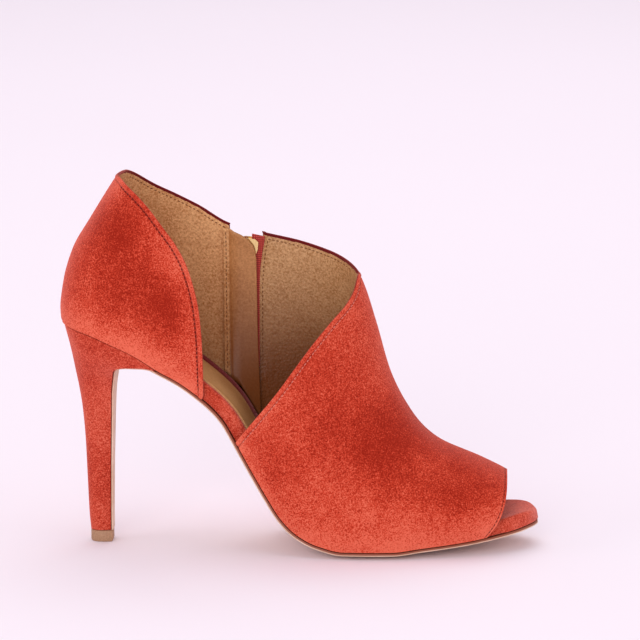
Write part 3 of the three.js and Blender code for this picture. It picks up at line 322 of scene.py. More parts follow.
points, faces = welded(points, faces)

# The zip's opening is cut out of the inner side, and the points near its edge are set on the line.
INNER_SIDE, SNAP = 8, 1.6  # points further out than the first are on the inner wall
slot_z = np.linspace(SLOT_BOTTOM, slot_heights[-1], 160)
slot_outline = np.concatenate([
    np.stack([slot_rear(slot_z), slot_z], 1)[::-1],
    np.stack([np.linspace(slot_rear(SLOT_BOTTOM), slot_front(SLOT_BOTTOM), 30), np.full(30, SLOT_BOTTOM)], 1),
    np.stack([slot_front(slot_z), slot_z], 1),
])


def in_slot(points):
    x, y, z = points.T
    return (y > INNER_SIDE) & (z > SLOT_BOTTOM) & (x > slot_rear(z)) & (x < slot_front(z))


faces = faces[~in_slot(points[faces].mean(1))]
used, order = np.unique(faces, return_inverse=True)
points, faces = points[used], order.reshape(faces.shape)


def open_edges(faces):
    """Edges with one face, in the direction of that face."""
    pairs = np.concatenate([faces[:, [i, (i + 1) % faces.shape[1]]] for i in range(faces.shape[1])])
    pairs = pairs[pairs[:, 0] != pairs[:, 1]]
    _, order, count = np.unique(np.sort(pairs, 1), axis=0, return_inverse=True, return_counts=True)
    return pairs[count[order.reshape(-1)] == 1]


rim = np.unique(open_edges(faces))
near_slot = rim[(points[rim, 1] > INNER_SIDE) & (points[rim, 2] > SLOT_BOTTOM - SNAP)
                & (points[rim, 0] > slot_rear(points[rim, 2]) - SNAP)
                & (points[rim, 0] < slot_front(points[rim, 2]) + SNAP)]
collar_x, collar_z = edge_line("collar")
collar_here = np.interp(points[near_slot, 0], collar_x, collar_z)
near_slot = near_slot[points[near_slot, 2] < collar_here - 0.05]
apart = np.linalg.norm(points[near_slot][:, None, [0, 2]] - slot_outline[None], axis=2)
points[near_slot] = last_point(*on_last(*slot_outline[apart.argmin(1)].T), 1)

# Lines that the folded edges follow, for the distance of each point from its edge.
edge_points = {
    "counter": last_point(counter_s, counter_t, -1),
    "vamp": last_point(vamp_s, vamp_t, -1),
    "collar": last_point(collar_s, collar_t, 1),
    "toe": np.concatenate([last_point(TOE_OPENING, np.linspace(0, 1, 200), side) for side in (-1, 1)]),
    "slot": last_point(*on_last(*slot_outline[slot_outline[:, 1] < np.interp(
        slot_outline[:, 0], collar_x, collar_z)].T), 1),
}


def resampled(line, pitch):
    """Points spaced evenly along a line."""
    run = np.concatenate([[0], np.cumsum(np.linalg.norm(np.diff(line, axis=0), axis=1))])
    at = np.linspace(0, run[-1], max(int(round(run[-1] / pitch)), 1) + 1)
    return np.stack([np.interp(at, run, line[:, i]) for i in range(line.shape[1])], 1)


def nearness(lines):
    """Search tree over several lines."""
    everything = np.concatenate([resampled(line, 0.25) for line in lines])
    tree = KDTree(len(everything))
    for i, point in enumerate(everything):
        tree.insert(point, i)
    tree.balance()
    return tree


def distance_to(tree, points):
    return np.array([tree.find(point)[2] for point in points])


def soft_step(x, start, end):
    u = np.clip((x - start) / (end - start), 0, 1)
    return u * u * (3 - 2 * u)


WALL, FOLD_WIDTH, FOLD_RAISED = 1.8, 1.7, 0.3
STITCH_AT, TOE_STITCH_AT = 2.4, 1.0  # the peep edge is bound more narrowly than the others
GROOVE_IN, GROOVE_DEEP, GROOVE_WIDE = 0.2, 0.42, 0.45  # the thread pulls a groove on its edge side
SEAM_DEEP, SEAM_WIDE = 0.3, 0.7
SKIVED, SKIVED_OVER = 0.75, 3.0  # both leathers are pared down towards a folded edge
TURNED_IN = 1.0  # the suede shows this far over the lining
seam_z = np.linspace(feather_height(chain_x(SLOT_BOTTOM)) + 0.5, SLOT_BOTTOM, 40)
seam_line = last_point(*on_last(np.full(40, chain_x(SLOT_BOTTOM)), seam_z), 1)
toe_lines = [edge_points["toe"][:200], edge_points["toe"][200:]]
from_fold = distance_to(nearness([edge_points[k] for k in ("counter", "vamp", "collar", "slot")]), points)
from_toe = distance_to(nearness(toe_lines), points)
from_edge = np.minimum(from_fold, from_toe * STITCH_AT / TOE_STITCH_AT)
from_seam = distance_to(nearness([seam_line]), points)
from_sole = np.abs(points[:, 2] - feather_height(points[:, 0]))

# Soft creases of the worn-in leather: middle x and z, direction, length and width, and depth.
CREASES = [
    (163, 63, 128, 22, 5.0, 0.75), (156, 74, 122, 20, 4.5, 0.6), (171, 52, 135, 18, 5.0, 0.55),
    (149, 86, 118, 16, 5.5, 0.4), (127, 40, 150, 26, 8.0, 0.35), (52, 128, 80, 24, 9.0, 0.35),
    (34, 118, 62, 20, 7.0, 0.3), (88, 40, 130, 20, 7.0, 0.3), (180, 36, 150, 14, 4.0, 0.3),
]
normal = corner_normals(points, faces)
sunk = np.zeros(len(points))
for x, z, turn, long, wide, deep in CREASES:
    along = math.cos(math.radians(turn)), math.sin(math.radians(turn))
    dx, dz = points[:, 0] - x, points[:, 2] - z
    down_line = (dx * along[0] + dz * along[1]) / long
    off_line = (dx * along[1] - dz * along[0]) / wide
    trough = np.exp(-off_line**2 * 2) - 0.6 * np.exp(-(off_line - 1.3)**2 * 2)  # with a low fold beside it
    sunk += deep * np.exp(-down_line**2 * 2) * trough
sunk *= np.clip((from_edge - 3) / 6, 0, 1) * np.clip((from_sole - 1) / 5, 0, 1)
folded = FOLD_RAISED * soft_step(-from_fold, -FOLD_WIDTH - 0.35, -FOLD_WIDTH + 0.1)
folded *= soft_step(from_fold, 0, 0.9)
groove = GROOVE_DEEP * np.exp(-(((from_edge - STITCH_AT + GROOVE_IN) / GROOVE_WIDE) ** 2))
groove += SEAM_DEEP * np.exp(-((from_seam / SEAM_WIDE) ** 2))
outer = points + normal * (folded - groove - sunk)[:, None]
pared = SKIVED * np.exp(-((from_edge / SKIVED_OVER) ** 2))
inner = points - normal * (WALL - pared + 0.25 * sunk)[:, None]

# The folded edge turns from the outer face to the lining in a half round.
RIM_STEPS, RIM_BULGE = 6, 0.22
border = open_edges(faces)
edge_run = points[border[:, 1]] - points[border[:, 0]]
outward = np.zeros_like(points)
for column in (0, 1):
    np.add.at(outward, border[:, column], np.cross(edge_run, normal[border[:, column]]))
outward /= np.maximum(np.linalg.norm(outward, axis=1, keepdims=True), 1e-12)
rim_points, rim_from = [], np.unique(border)
free_rim = np.clip(from_sole[rim_from] / 1.5, 0, 1) * (np.minimum(from_fold, from_toe)[rim_from] < 1)
for step in range(1, RIM_STEPS):
    turn = math.pi * step / RIM_STEPS
    bulge = (RIM_BULGE * math.sin(turn) * free_rim)[:, None]
    mixed = (1 + math.cos(turn)) / 2
    rim_points.append(outer[rim_from] * mixed + inner[rim_from] * (1 - mixed) + outward[rim_from] * bulge)
place = np.full(len(points), -1)
place[rim_from] = np.arange(len(rim_from))
rings = [border] + [
    place[border] + 2 * len(points) + k * len(rim_from) for k in range(RIM_STEPS - 1)
] + [border + len(points)]
rim_faces = np.concatenate([
    np.stack([a[:, 1], a[:, 0], b[:, 0], b[:, 1]], 1) for a, b in zip(rings, rings[1:])
])
shell = np.concatenate([outer, inner, *rim_points])
shell_faces = np.concatenate([faces, (faces + len(points))[:, ::-1], rim_faces])
vamp_lined = points[faces].mean(1)[:, 0] > chain_x(SLOT_BOTTOM)
turned_edges = nearness([edge_points[k] for k in ("counter", "vamp", "collar")])
over_lining = distance_to(turned_edges, points)[faces].mean(1) < TURNED_IN
lined = np.concatenate([np.zeros(len(faces)), np.where(over_lining, 0, 1 + vamp_lined),
                        np.zeros(len(rim_faces))]).astype(int)

# Values that the suede's shader reads at each point: distances from edge and seam, painted shade on the
# folded edge and beside the collar's fold, and painted light and shade for how light falls on the nap,
# lighter near the sole, where the floor throws light up, and near the edges, and darker in listed patches.
PAINTED_SHADE_PATCHES = [  # middle x and z, half length along x and z, and how dark
    (152, 55, 26, 18, 0.95), (131, 83, 15, 12, 0.5), (166, 80, 11, 12, 0.7), (185, 44, 14, 8, 0.45),
    (158, 36, 22, 8, 0.35), (37, 122, 17, 17, 0.85), (52, 108, 10, 18, 0.95), (30, 147, 14, 13, 0.75),
    (184, 29, 20, 9, 0.95),
]
collar_near = distance_to(nearness([edge_points["collar"]]), points)
# Painted light: lighter near the sole, where the floor throws light up, and near the edges; the listed
# patches are painted shade.
brushed = 1.05 * np.exp(-((from_sole / 9) ** 2)) + 0.25 * np.exp(-((from_edge / 7) ** 2))
for x, z, half_x, half_z, dark in PAINTED_SHADE_PATCHES:
    brushed -= dark * np.exp(-(((points[:, 0] - x) / half_x) ** 2) - ((points[:, 2] - z) / half_z) ** 2)
rim_count = RIM_STEPS - 1
# Painted shade on the rims: the collar's whole rim and the inner part of every other rim are darkened.
turned = np.concatenate([
    np.where(collar_near[rim_from] < TURNED_IN, 1.0, min(1, 1.6 * k / RIM_STEPS) if k > 1 else 0)
    for k in range(1, RIM_STEPS)])
shaded_fold = np.exp(-((collar_near / 0.9) ** 2))
shell_values = {
    "edge_mm": np.concatenate([from_edge, from_edge, np.zeros(len(rim_from) * rim_count)]),
    "seam_mm": np.concatenate([from_seam, from_seam, np.full(len(rim_from) * rim_count, 99.0)]),
    "turned": np.concatenate([shaded_fold, np.ones(len(points)), turned]),
    "brushed": np.concatenate([brushed, brushed, *([brushed[rim_from]] * rim_count)]),
}


def make_piece(name, points, faces, materials, body, slot, replaced=(), face_material=None, values=None):
    """Mesh of millimetre points, set in the frame, riding on a body."""
    mesh = bpy.data.meshes.new(name)
    placed = (points - frame_shift) * 0.001
    tidy = [list(dict.fromkeys(face)) for face in faces.tolist()]
    kept = [i for i, face in enumerate(tidy) if len(face) > 2]
    mesh.from_pydata(placed.tolist(), [], [tidy[i] for i in kept])
    for material in materials:
        mesh.materials.append(material)
    if face_material is not None:
        mesh.polygons.foreach_set("material_index", np.asarray(face_material, np.int32)[kept])
    for key, value in (values or {}).items():
        mesh.attributes.new(key, "FLOAT", "POINT").data.foreach_set("value", np.asarray(value, np.float32))
    mesh.polygons.foreach_set("use_smooth", np.ones(len(kept), bool))
    mesh.update()
    piece = bpy.data.objects.new(name, mesh)
    bpy.context.scene.collection.objects.link(piece)
    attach(piece, body)
    if replaced:
        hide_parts(*replaced)
    return piece


def colour(text):
    """Linear colour of an sRGB hex value."""
    parts = [int(text[i:i + 2], 16) / 255 for i in (1, 3, 5)]
    return (*(p / 12.92 if p <= 0.04045 else ((p + 0.055) / 1.055) ** 2.4 for p in parts), 1)


def add(material, kind, settings=(), links=(), stops=()):
    """Adds a node; links are values or other nodes' sockets, by input."""
    tree = material.node_tree
    node = tree.nodes.new(kind)
    for key, value in dict(settings).items():
        setattr(node, key, value)
    for key, value in dict(links).items():
        if isinstance(value, bpy.types.NodeSocket):
            tree.links.new(value, node.inputs[key])
        else:
            node.inputs[key].default_value = value
    if stops:
        ramp = node.color_ramp.elements
        while len(ramp) < len(stops):
            ramp.new(0.5)
        for element, (position, value) in zip(ramp, stops):
            element.position, element.color = position, value
    return node


def new_material(name):
    material = bpy.data.materials.new(name)
    material.use_nodes = True
    material.node_tree.nodes.clear()
    return material


# Sueded goat leather, dyed through and napped by sanding: dark where the nap is seen end on, light
# where it is seen from the side, as its sheen gives it; on the upper's shell painted light and shade are
# added.
# Patches and strokes of the brush are some 35 and 5 mm wide. The nap's tufts are 0.3 mm in life and drawn
# twice as coarse, so that they show.
def sueded_leather(name, dark, middle, light, patch_mm=35, upper_shell=True, bloom="#f58f82"):
    suede = new_material(name)
    place = add(suede, "ShaderNodeTexCoord").outputs["Object"]
    patches = add(suede, "ShaderNodeTexNoise", links={
        "Vector": place, "Scale": 1000 / patch_mm, "Detail": 2, "Roughness": 0.5})
    strokes = add(suede, "ShaderNodeTexNoise", links={
        "Vector": place, "Scale": 200, "Detail": 5, "Roughness": 0.65, "Distortion": 0.8})
    nap = add(suede, "ShaderNodeTexNoise", links={
        "Vector": place, "Scale": 1500, "Detail": 3, "Roughness": 0.8})
    nap_tone_and_light = 0.0
    for texture, weight in ((patches, 0.5), (strokes, 0.32), (nap, 1.75)):
        middled = add(suede, "ShaderNodeMath", {"operation": "SUBTRACT"}, {0: texture.outputs[0], 1: 0.5})
        nap_tone_and_light = add(suede, "ShaderNodeMath", {"operation": "MULTIPLY_ADD"},
                  {0: middled.outputs[0], 1: weight, 2: nap_tone_and_light}).outputs[0]
    # On the upper's shell, painted light and shade from its point values are added to the tone.
    if upper_shell:
        painted_light_fac = add(suede, "ShaderNodeAttribute", {"attribute_name": "brushed"}).outputs["Fac"]
        nap_tone_and_light = add(suede, "ShaderNodeMath", {"operation": "MULTIPLY_ADD"},
                  {0: painted_light_fac, 1: 0.19, 2: nap_tone_and_light}).outputs[0]
    lifted = add(suede, "ShaderNodeMath", {"operation": "ADD"}, {0: nap_tone_and_light, 1: 0.5})
    tone = add(suede, "ShaderNodeValToRGB", links={"Fac": lifted.outputs[0]}, stops=[
        (0.26, colour(dark)), (0.5, colour(middle)), (0.76, colour(light))]).outputs[0]
    # Painted shade: a dark maroon laid over folded edges, rims, the fold beside the collar and the footbed's
    # bead.
    painted_fold_shade_fac = add(suede, "ShaderNodeAttribute", {"attribute_name": "turned"}).outputs["Fac"]
    tone = add(suede, "ShaderNodeMix", {"data_type": "RGBA"},
               {0: painted_fold_shade_fac, 6: tone, 7: colour("#6c1a1c")}).outputs[2]
    if upper_shell:
        edge = add(suede, "ShaderNodeAttribute", {"attribute_name": "edge_mm"}).outputs["Fac"]
        seam = add(suede, "ShaderNodeAttribute", {"attribute_name": "seam_mm"}).outputs["Fac"]
        for value, centre, strength in ((edge, STITCH_AT - GROOVE_IN, 0.4), (seam, 0.0, 0.7)):
            away = add(suede, "ShaderNodeMath", {"operation": "SUBTRACT"}, {0: value, 1: centre})
            size = add(suede, "ShaderNodeMath", {"operation": "ABSOLUTE"}, {0: away.outputs[0]})
            shade = add(suede, "ShaderNodeMapRange", {"interpolation_type": "SMOOTHSTEP"},
                        {"Value": size.outputs[0], "From Min": 0.1, "From Max": 0.5,
                         "To Min": strength, "To Max": 0})
            tone = add(suede, "ShaderNodeMix", {"data_type": "RGBA"},
                       {0: shade.outputs[0], 6: tone, 7: colour("#6a1613")}).outputs[2]
    bump = add(suede, "ShaderNodeBump", links={"Strength": 0.8, "Distance": 0.0003, "Height": nap.outputs[0]})
    shader = add(suede, "ShaderNodeBsdfPrincipled", links={
        "Base Color": tone, "Roughness": 0.95, "Specular IOR Level": 0.1, "Sheen Weight": 0.7,
        "Sheen Roughness": 0.42, "Sheen Tint": colour(bloom), "Normal": bump.outputs[0]})
    add(suede, "ShaderNodeOutputMaterial", links={"Surface": shader.outputs[0]})
    return suede


coral_suede = sueded_leather("sueded_goat_leather", "#98200f", "#cc4029", "#ea7056")


# Linings: pigskin, drummed soft and left rough in the counter, and goat, faintly pebbled, in the vamp.
# Grain and pores lie half a millimetre to a millimetre apart and are drawn a little coarser. Towards
# the sole the lining is darker, partly from wear and partly painted shade deep in the boot; deep goes from 0
# for even to 1 for quite brown.
def lining_leather(name, dark, light, pore_mm, relief, roughness, rough=0.45, deep=0.0):
    leather = new_material(name)
    place = add(leather, "ShaderNodeTexCoord").outputs["Object"]
    clouds = add(leather, "ShaderNodeTexNoise", links={"Vector": place, "Scale": 45, "Detail": 2})
    pores = add(leather, "ShaderNodeTexVoronoi", {"feature": "F1"},
                {"Vector": place, "Scale": 1000 / pore_mm, "Randomness": 1.0})
    grain = add(leather, "ShaderNodeTexNoise", links={"Vector": place, "Scale": 1000, "Detail": 4,
                                                      "Roughness": 0.75})
    mixed = add(leather, "ShaderNodeMath", {"operation": "MULTIPLY_ADD"},
                {0: grain.outputs[0], 1: rough, 2: (1 - rough) * 0.2})
    mixed = add(leather, "ShaderNodeMath", {"operation": "MULTIPLY_ADD"},
                {0: clouds.outputs[0], 1: (1 - rough) * 0.6, 2: mixed.outputs[0]})
    grained = add(leather, "ShaderNodeValToRGB", links={"Fac": mixed.outputs[0]}, stops=[
        (0.4, colour(dark)), (0.6, colour(light))])
    up = add(leather, "ShaderNodeSeparateXYZ", links={0: place}).outputs["Z"]
    # Painted shade and wear: darker brown towards the sole.
    low_shade_and_wear = add(leather, "ShaderNodeMapRange", {"interpolation_type": "SMOOTHSTEP"},
                   {"Value": up, "From Min": 0.132, "From Max": 0.07, "To Min": 0, "To Max": deep})
    tone = add(leather, "ShaderNodeMix", {"data_type": "RGBA"},
               {0: low_shade_and_wear.outputs[0], 6: grained.outputs[0], 7: colour("#6f3206")})
    raised = add(leather, "ShaderNodeMath", {"operation": "MULTIPLY_ADD"},
                 {0: pores.outputs["Distance"], 1: 1.0, 2: grain.outputs[0]})
    bump = add(leather, "ShaderNodeBump", links={"Strength": 0.6, "Distance": relief,
                                                 "Height": raised.outputs[0]})
    shader = add(leather, "ShaderNodeBsdfPrincipled", links={
        "Base Color": tone.outputs[2], "Roughness": roughness, "Specular IOR Level": 0.3,
        "Normal": bump.outputs[0]})
    add(leather, "ShaderNodeOutputMaterial", links={"Surface": shader.outputs[0]})
    return leather


rough_lining = lining_leather("rough_pigskin_lining", "#b4733f", "#ecb680", 0.8, 0.0003, 0.85, 0.7, 0.5)
smooth_lining = lining_leather("pebbled_goat_lining", "#aa7644", "#dfae7c", 1.3, 0.0003, 0.42, 0.75, 0.92)

make_piece("upper_shell", shell, shell_faces, [coral_suede, rough_lining, smooth_lining], "boot",
           "coral_suede", ["upper"], lined, shell_values)


# Stitches: bonded polyester thread, half a millimetre thick, ten stitches to two centimetres, each
# sunk at both ends. One row runs beside every folded edge and shows on the lining too.
STITCH_PITCH, STITCH_LONG, THREAD_RADIUS = 1.95, 1.3, 0.26
THREAD_SUNK, THREAD_PROUD = 0.14, 0.02


def stitch_row(edge, s, t, side, s_inwards, t_inwards, distance=STITCH_AT):
    """Sections and shares of a row beside an edge; s_inwards and t_inwards lead away from the edge."""
    tree = nearness([edge_points["toe"][:200], edge_points["toe"][200:]] if edge == "toe"
                    else [edge_points[edge]])
    side = np.full(len(s), float(side))
    low, high = np.zeros(len(s)), np.full(len(s), 1.0)
    for _ in range(18):  # halvings, down to less than a thousandth of a millimetre
        middle = (low + high) / 2
        near = distance_to(tree, last_point(s + s_inwards * middle, t * (1 + t_inwards * middle), side))
        high, low = np.where(near > distance, middle, high), np.where(near > distance, low, middle)
    middle = (low + high) / 2
    return s + s_inwards * middle, t * (1 + t_inwards * middle), side


def wall_normals(s, t, side):
    """Outward normal of the last's wall."""
    e = 0.004
    ds = last_point(s + e, t, side) - last_point(s - e, t, side)
    dt = last_point(s, np.clip(t + e, 0, 1), side) - last_point(s, np.clip(t - e, 0, 1), side)
    n = np.cross(ds, dt) * np.asarray(side)[..., None]
    n /= np.maximum(np.linalg.norm(n, axis=-1, keepdims=True), 1e-12)
    facing = np.sign(n[..., 1] * np.asarray(side))
    return n * np.where(facing == 0, 1, facing)[..., None]


def sewn(lines):
    """Points and faces of the stitches along lines of points with their normals."""
    turns, rings = 6, 5
    made, made_faces = [], []
    for line, normals in lines:
        if len(line) < 2:
            continue
        both = resampled(np.concatenate([line, normals], 1), STITCH_PITCH)
        for i in range(len(both) - 1):
            start, end = both[i, :3], both[i + 1, :3]
            run = end - start
            if np.linalg.norm(run) < 0.5:
                continue
            run /= np.linalg.norm(run)
            up = both[i, 3:] / np.linalg.norm(both[i, 3:])
            side = np.cross(run, up)
            centre = (start + end) / 2 - up * 0.05
            offset = sum(len(m) for m in made)
            for k in range(rings):
                angle = math.pi * (k + 0.5) / rings
                reach, girth = -math.cos(angle) * STITCH_LONG / 2, math.sin(angle) * THREAD_RADIUS
                around = np.linspace(0, 2 * math.pi, turns, endpoint=False)[:, None]
                made.append(centre + run * reach + side * np.cos(around) * girth
                            + up * np.sin(around) * girth * 0.9)
            body = grid_faces(rings, turns, offset, False)
            last_column = [[offset + k * turns + turns - 1, offset + k * turns,
                            offset + (k + 1) * turns, offset + (k + 1) * turns + turns - 1]
                           for k in range(rings - 1)]
            caps = [[offset + j, offset + (j + 1) % turns, offset, offset] for j in range(1, turns - 1)]
            top = offset + (rings - 1) * turns
            caps += [[top, top + (j + 1) % turns, top + j, top] for j in range(1, turns - 1)]
            made_faces += [body, np.array(last_column), np.array(caps)]
    return np.concatenate(made), np.concatenate(made_faces)


counter_row = np.linspace(counter_s[0] + 0.25, peak_s - 0.35, 150)
collar_row = np.linspace(throat_s + 0.35, peak_s - 0.35, 200)
up_vamp, up_toe, toe_row = np.linspace(0.03, 0.985, 150), np.linspace(0.03, 1, 120), np.full(120, TOE_OPENING)
rows = {
    "counter": stitch_row("counter", counter_row, np.interp(counter_row, counter_s, counter_t), -1, 0, -0.5),
    "vamp": stitch_row("vamp", np.interp(up_vamp, vamp_t, vamp_s), up_vamp, -1, -2, 0),
    "collar": stitch_row("collar", collar_row, np.interp(collar_row, collar_s, collar_t), 1, 0, -0.5),
    "toe_outer": stitch_row("toe", toe_row, up_toe, -1, 2, 0, TOE_STITCH_AT),
    "toe_inner": stitch_row("toe", toe_row, np.linspace(1, 0.03, 120), 1, 2, 0, TOE_STITCH_AT),
}
LINING_AT = WALL - SKIVED * math.exp(-((STITCH_AT / SKIVED_OVER) ** 2))


def beside_slot(line, out):
    """The parts of a row that lie on either side of the zip's opening."""
    x, y, z = line.T
    over = (y > INNER_SIDE) & (z > SLOT_BOTTOM) & (x > slot_rear(z) - 1.5) & (x < slot_front(z) + 1.5)
    parts = np.split(np.arange(len(line)), np.flatnonzero(over[1:] != over[:-1]) + 1)
    return [(line[part], out[part]) for part in parts if not over[part[0]] and len(part) > 3]


outer_rows, lining_rows = {}, []
for name, (s, t, side) in rows.items():
    line, out = last_point(s, t, side), wall_normals(s, t, side)
    outer_rows[name] = beside_slot(line - out * THREAD_SUNK, out)
    lining_rows += beside_slot(line - out * (LINING_AT + THREAD_PROUD), -out)
for name, shift in (("slot_rear", -STITCH_AT), ("slot_front", STITCH_AT)):
    edge_of = slot_front if shift > 0 else slot_rear
    stop = float(np.interp(float(edge_of(140)) + shift, collar_x, collar_z)) - STITCH_AT - 0.6
    z = np.linspace(SLOT_BOTTOM + 1, stop, 90)
    s, t = on_last(edge_of(z) + shift, z)
    out = wall_normals(s, t, np.ones(90))
    outer_rows[name] = [(last_point(s, t, 1) - out * THREAD_SUNK, out)]
    if shift > 0:
        lining_rows.append((last_point(s, t, 1) - out * (LINING_AT + THREAD_PROUD), -out))
for name, shift in (("seam_rear", -1.6), ("seam_front", 1.6)):
    z = np.linspace(seam_z[0] + 1, SLOT_BOTTOM - 1, 30)
    s, t = on_last(np.full(30, chain_x(SLOT_BOTTOM) + shift), z)
    out = wall_normals(s, t, np.ones(30))
    outer_rows[name] = [(last_point(s, t, 1) + out * THREAD_PROUD, out)]


def spun_thread(name, dark, light):
    """Bonded polyester thread: twisted in fine slanting turns, with a soft lustre."""
    thread = new_material(name)
    place = add(thread, "ShaderNodeTexCoord").outputs["Object"]
    turns = add(thread, "ShaderNodeTexWave", {"bands_direction": "DIAGONAL"},
                {"Vector": place, "Scale": 900, "Distortion": 1.0})
    tone = add(thread, "ShaderNodeValToRGB", links={"Fac": turns.outputs["Fac"]},
               stops=[(0.2, colour(dark)), (0.9, colour(light))])
    shader = add(thread, "ShaderNodeBsdfPrincipled", links={
        "Base Color": tone.outputs[0], "Roughness": 0.7, "Specular IOR Level": 0.2})
    add(thread, "ShaderNodeOutputMaterial", links={"Surface": shader.outputs[0]})
    return thread


red_thread = spun_thread("polyester_thread_red", "#560d0b", "#7c1b15")
brown_thread = spun_thread("polyester_thread_brown", "#5a3016", "#8a5430")
rose_thread = spun_thread("polyester_thread_rose", "#cc6a58", "#f09a88")
for name, thread, edges in (
    ("counter_stitches", red_thread, ("counter", "collar", "slot_rear", "seam_rear")),
    ("vamp_stitches", rose_thread, ("vamp", "slot_front", "seam_front")),
    ("toe_stitches", red_thread, ("toe_outer", "toe_inner")),
):
    sewn_rows = [row for edge in edges for row in outer_rows[edge]]
    make_piece(name, *sewn(sewn_rows), [thread], "boot", "coral_suede")
make_piece("lining_stitches", *sewn(lining_rows), [brown_thread], "boot", "coral_suede")


# Footbed: insole board with thin padding, wrapped in the same suede, its rim rounded over. It shows
# as a band beside the sock in the cut-out and as the whole rim in front of the toe opening.
FOOTBED_THICK, FOOTBED_RADIUS = 6.5, 1.8
BEAD_HIGH, BEAD_WIDE, BEAD_TOP = 2.1, 4.3, 2.3  # the bead's height, and where it starts and is level
CLEARANCE = 0.3
TOE_TIP_X = LENGTH


def tip_y(x):
    return (feather_medial(x) - feather_lateral(x)) / 2


def nose_left(x):
    """Share of the thickness left where the rim is rounded off at the toe."""
    back = np.clip((TOE_TIP_X - x) / 9, 0, 1)
    return 0.4 + 0.6 * np.sqrt(1 - (1 - back) ** 2)


def footbed_inset(x):
    """How far the rim lies inside the feather line: within the upper, and flush in the toe opening."""
    at_heel = 0.6 * (1 - soft_step(x, HEEL_END_X + 10, HEEL_END_X + 30))
    within = WALL - OVERHANG + CLEARANCE + at_heel
    opened = soft_step(x, 0.915 * LENGTH, 0.94 * LENGTH)
    return within * (1 - opened) + 0.2 * opened


def stations(start, end, count):
    u = np.linspace(0, 1, count)
    return start + (end - start) * (0.55 * (1 - np.cos(np.pi * u)) / 2 + 0.45 * u)


def lofted(rings):
    """Closed body through rings of points, capped at both ends."""
    rings = np.asarray(rings)
    rows, columns = rings.shape[:2]
    body = grid_faces(rows, columns, 0, False)
    i = np.arange(rows - 1) * columns
    closing = np.stack([i + columns - 1, i, i + columns, i + 2 * columns - 1], 1)
    centres = rows * columns + np.arange(2)
    j = np.arange(columns)
    k = (j + 1) % columns
    last = (rows - 1) * columns
    caps = [np.stack([np.full(columns, centres[0]), k, j, j], 1),
            np.stack([np.full(columns, centres[1]), last + j, last + k, last + k], 1)]
    every = np.concatenate([rings.reshape(-1, 3), rings[0].mean(0)[None], rings[-1].mean(0)[None]])
    made = np.concatenate([body, closing, *caps])
    a, b, c = (every[made[:, i]] for i in (0, 1, 2))
    if np.einsum("ij,ij->i", a, np.cross(b, c)).sum() < 0:
        made = made[:, ::-1]
    return every, made


def slab(xs, inset, inset_inner, section_at, left=lambda x: 1.0, bead=lambda x: 0.0):
    """Rings of a slab that follows the feather line; section_at gives offsets across and up."""
    e = 0.3
    rings = []
    for x in xs:
        slope = (feather_height(x + e) - feather_height(x - e)) / (2 * e)
        up_x, up_z = -slope / math.hypot(1, slope), 1 / math.hypot(1, slope)
        outer_half = max(feather_lateral(x) - inset(x), -tip_y(x) + 1)
        inner_half = max(feather_medial(x) - inset_inner(x), tip_y(x) + 1)
        y, h = section_at(outer_half, inner_half)
        h = h * left(x)
        risen = soft_step(y, inner_half - BEAD_WIDE, inner_half - BEAD_TOP)
        h = h + bead(x) * risen * (h > FOOTBED_THICK * 0.5)
        rings.append(np.stack([x + up_x * h, y, feather_height(x) + up_z * h + camber(x, y)], 1))
    return rings


def rounded_slab(low, high, radius, lower_radius=0.3, across=22, turns=6):
    """Section of a slab with rounded rims."""
    def section_at(outer_half, inner_half):
        middle, half = (inner_half - outer_half) / 2, (inner_half + outer_half) / 2
        top_r = min(radius, half * 0.6, (high - low) * 0.45)
        low_r = min(lower_radius, half * 0.3, (high - low) * 0.3)
        flat = np.linspace(1, -1, across)
        quarter = np.linspace(0, math.pi / 2, turns)
        y = np.concatenate([
            middle + half - top_r + top_r * np.cos(quarter), middle + (half - top_r) * flat[1:-1],
            middle - half + top_r - top_r * np.cos(quarter[::-1]),
            middle - half + low_r - low_r * np.cos(quarter), middle - (half - low_r) * flat[1:-1],
            middle + half - low_r + low_r * np.cos(quarter[::-1])])
        h = np.concatenate([
            high - top_r + top_r * np.sin(quarter), np.full(across - 2, high),
            high - top_r + top_r * np.sin(quarter[::-1]),
            low + low_r - low_r * np.sin(quarter), np.full(across - 2, low),
            low + low_r - low_r * np.sin(quarter[::-1])])
        return y, h
    return section_at


footbed_suede = sueded_leather("sueded_goat_leather_footbed", "#98230f", "#c6422c", "#e46c54",
                               upper_shell=False, bloom="#f8b4b0")


def bead_height(x):
    """The cover is folded up in a low bead along the inner wall, beside the sock."""
    return BEAD_HIGH * soft_step(x, 20, 34) * (1 - soft_step(x, 140, 160))


footbed_x = stations(HEEL_END_X + WALL + CLEARANCE + 0.5, TOE_TIP_X - 0.2, 200)
footbed_rings = slab(footbed_x, footbed_inset, footbed_inset, rounded_slab(0, FOOTBED_THICK, FOOTBED_RADIUS),
                     nose_left, bead_height)
bead_from = feather_medial(footbed_x) - footbed_inset(footbed_x) - BEAD_WIDE
# Painted shade: the footbed's bead along the inner wall is darkened to maroon.
in_bead = [np.clip(bead_height(x), 0, 1) * soft_step(ring[:, 1], start - 0.3, start + 0.4)
           for x, ring, start in zip(footbed_x, footbed_rings, bead_from)]
make_piece("footbed_cover", *lofted(footbed_rings), [footbed_suede], "boot", "coral_suede", ["footbed"],
           values={"turned": np.append(np.concatenate(in_bead), [0.0, 0.0])})

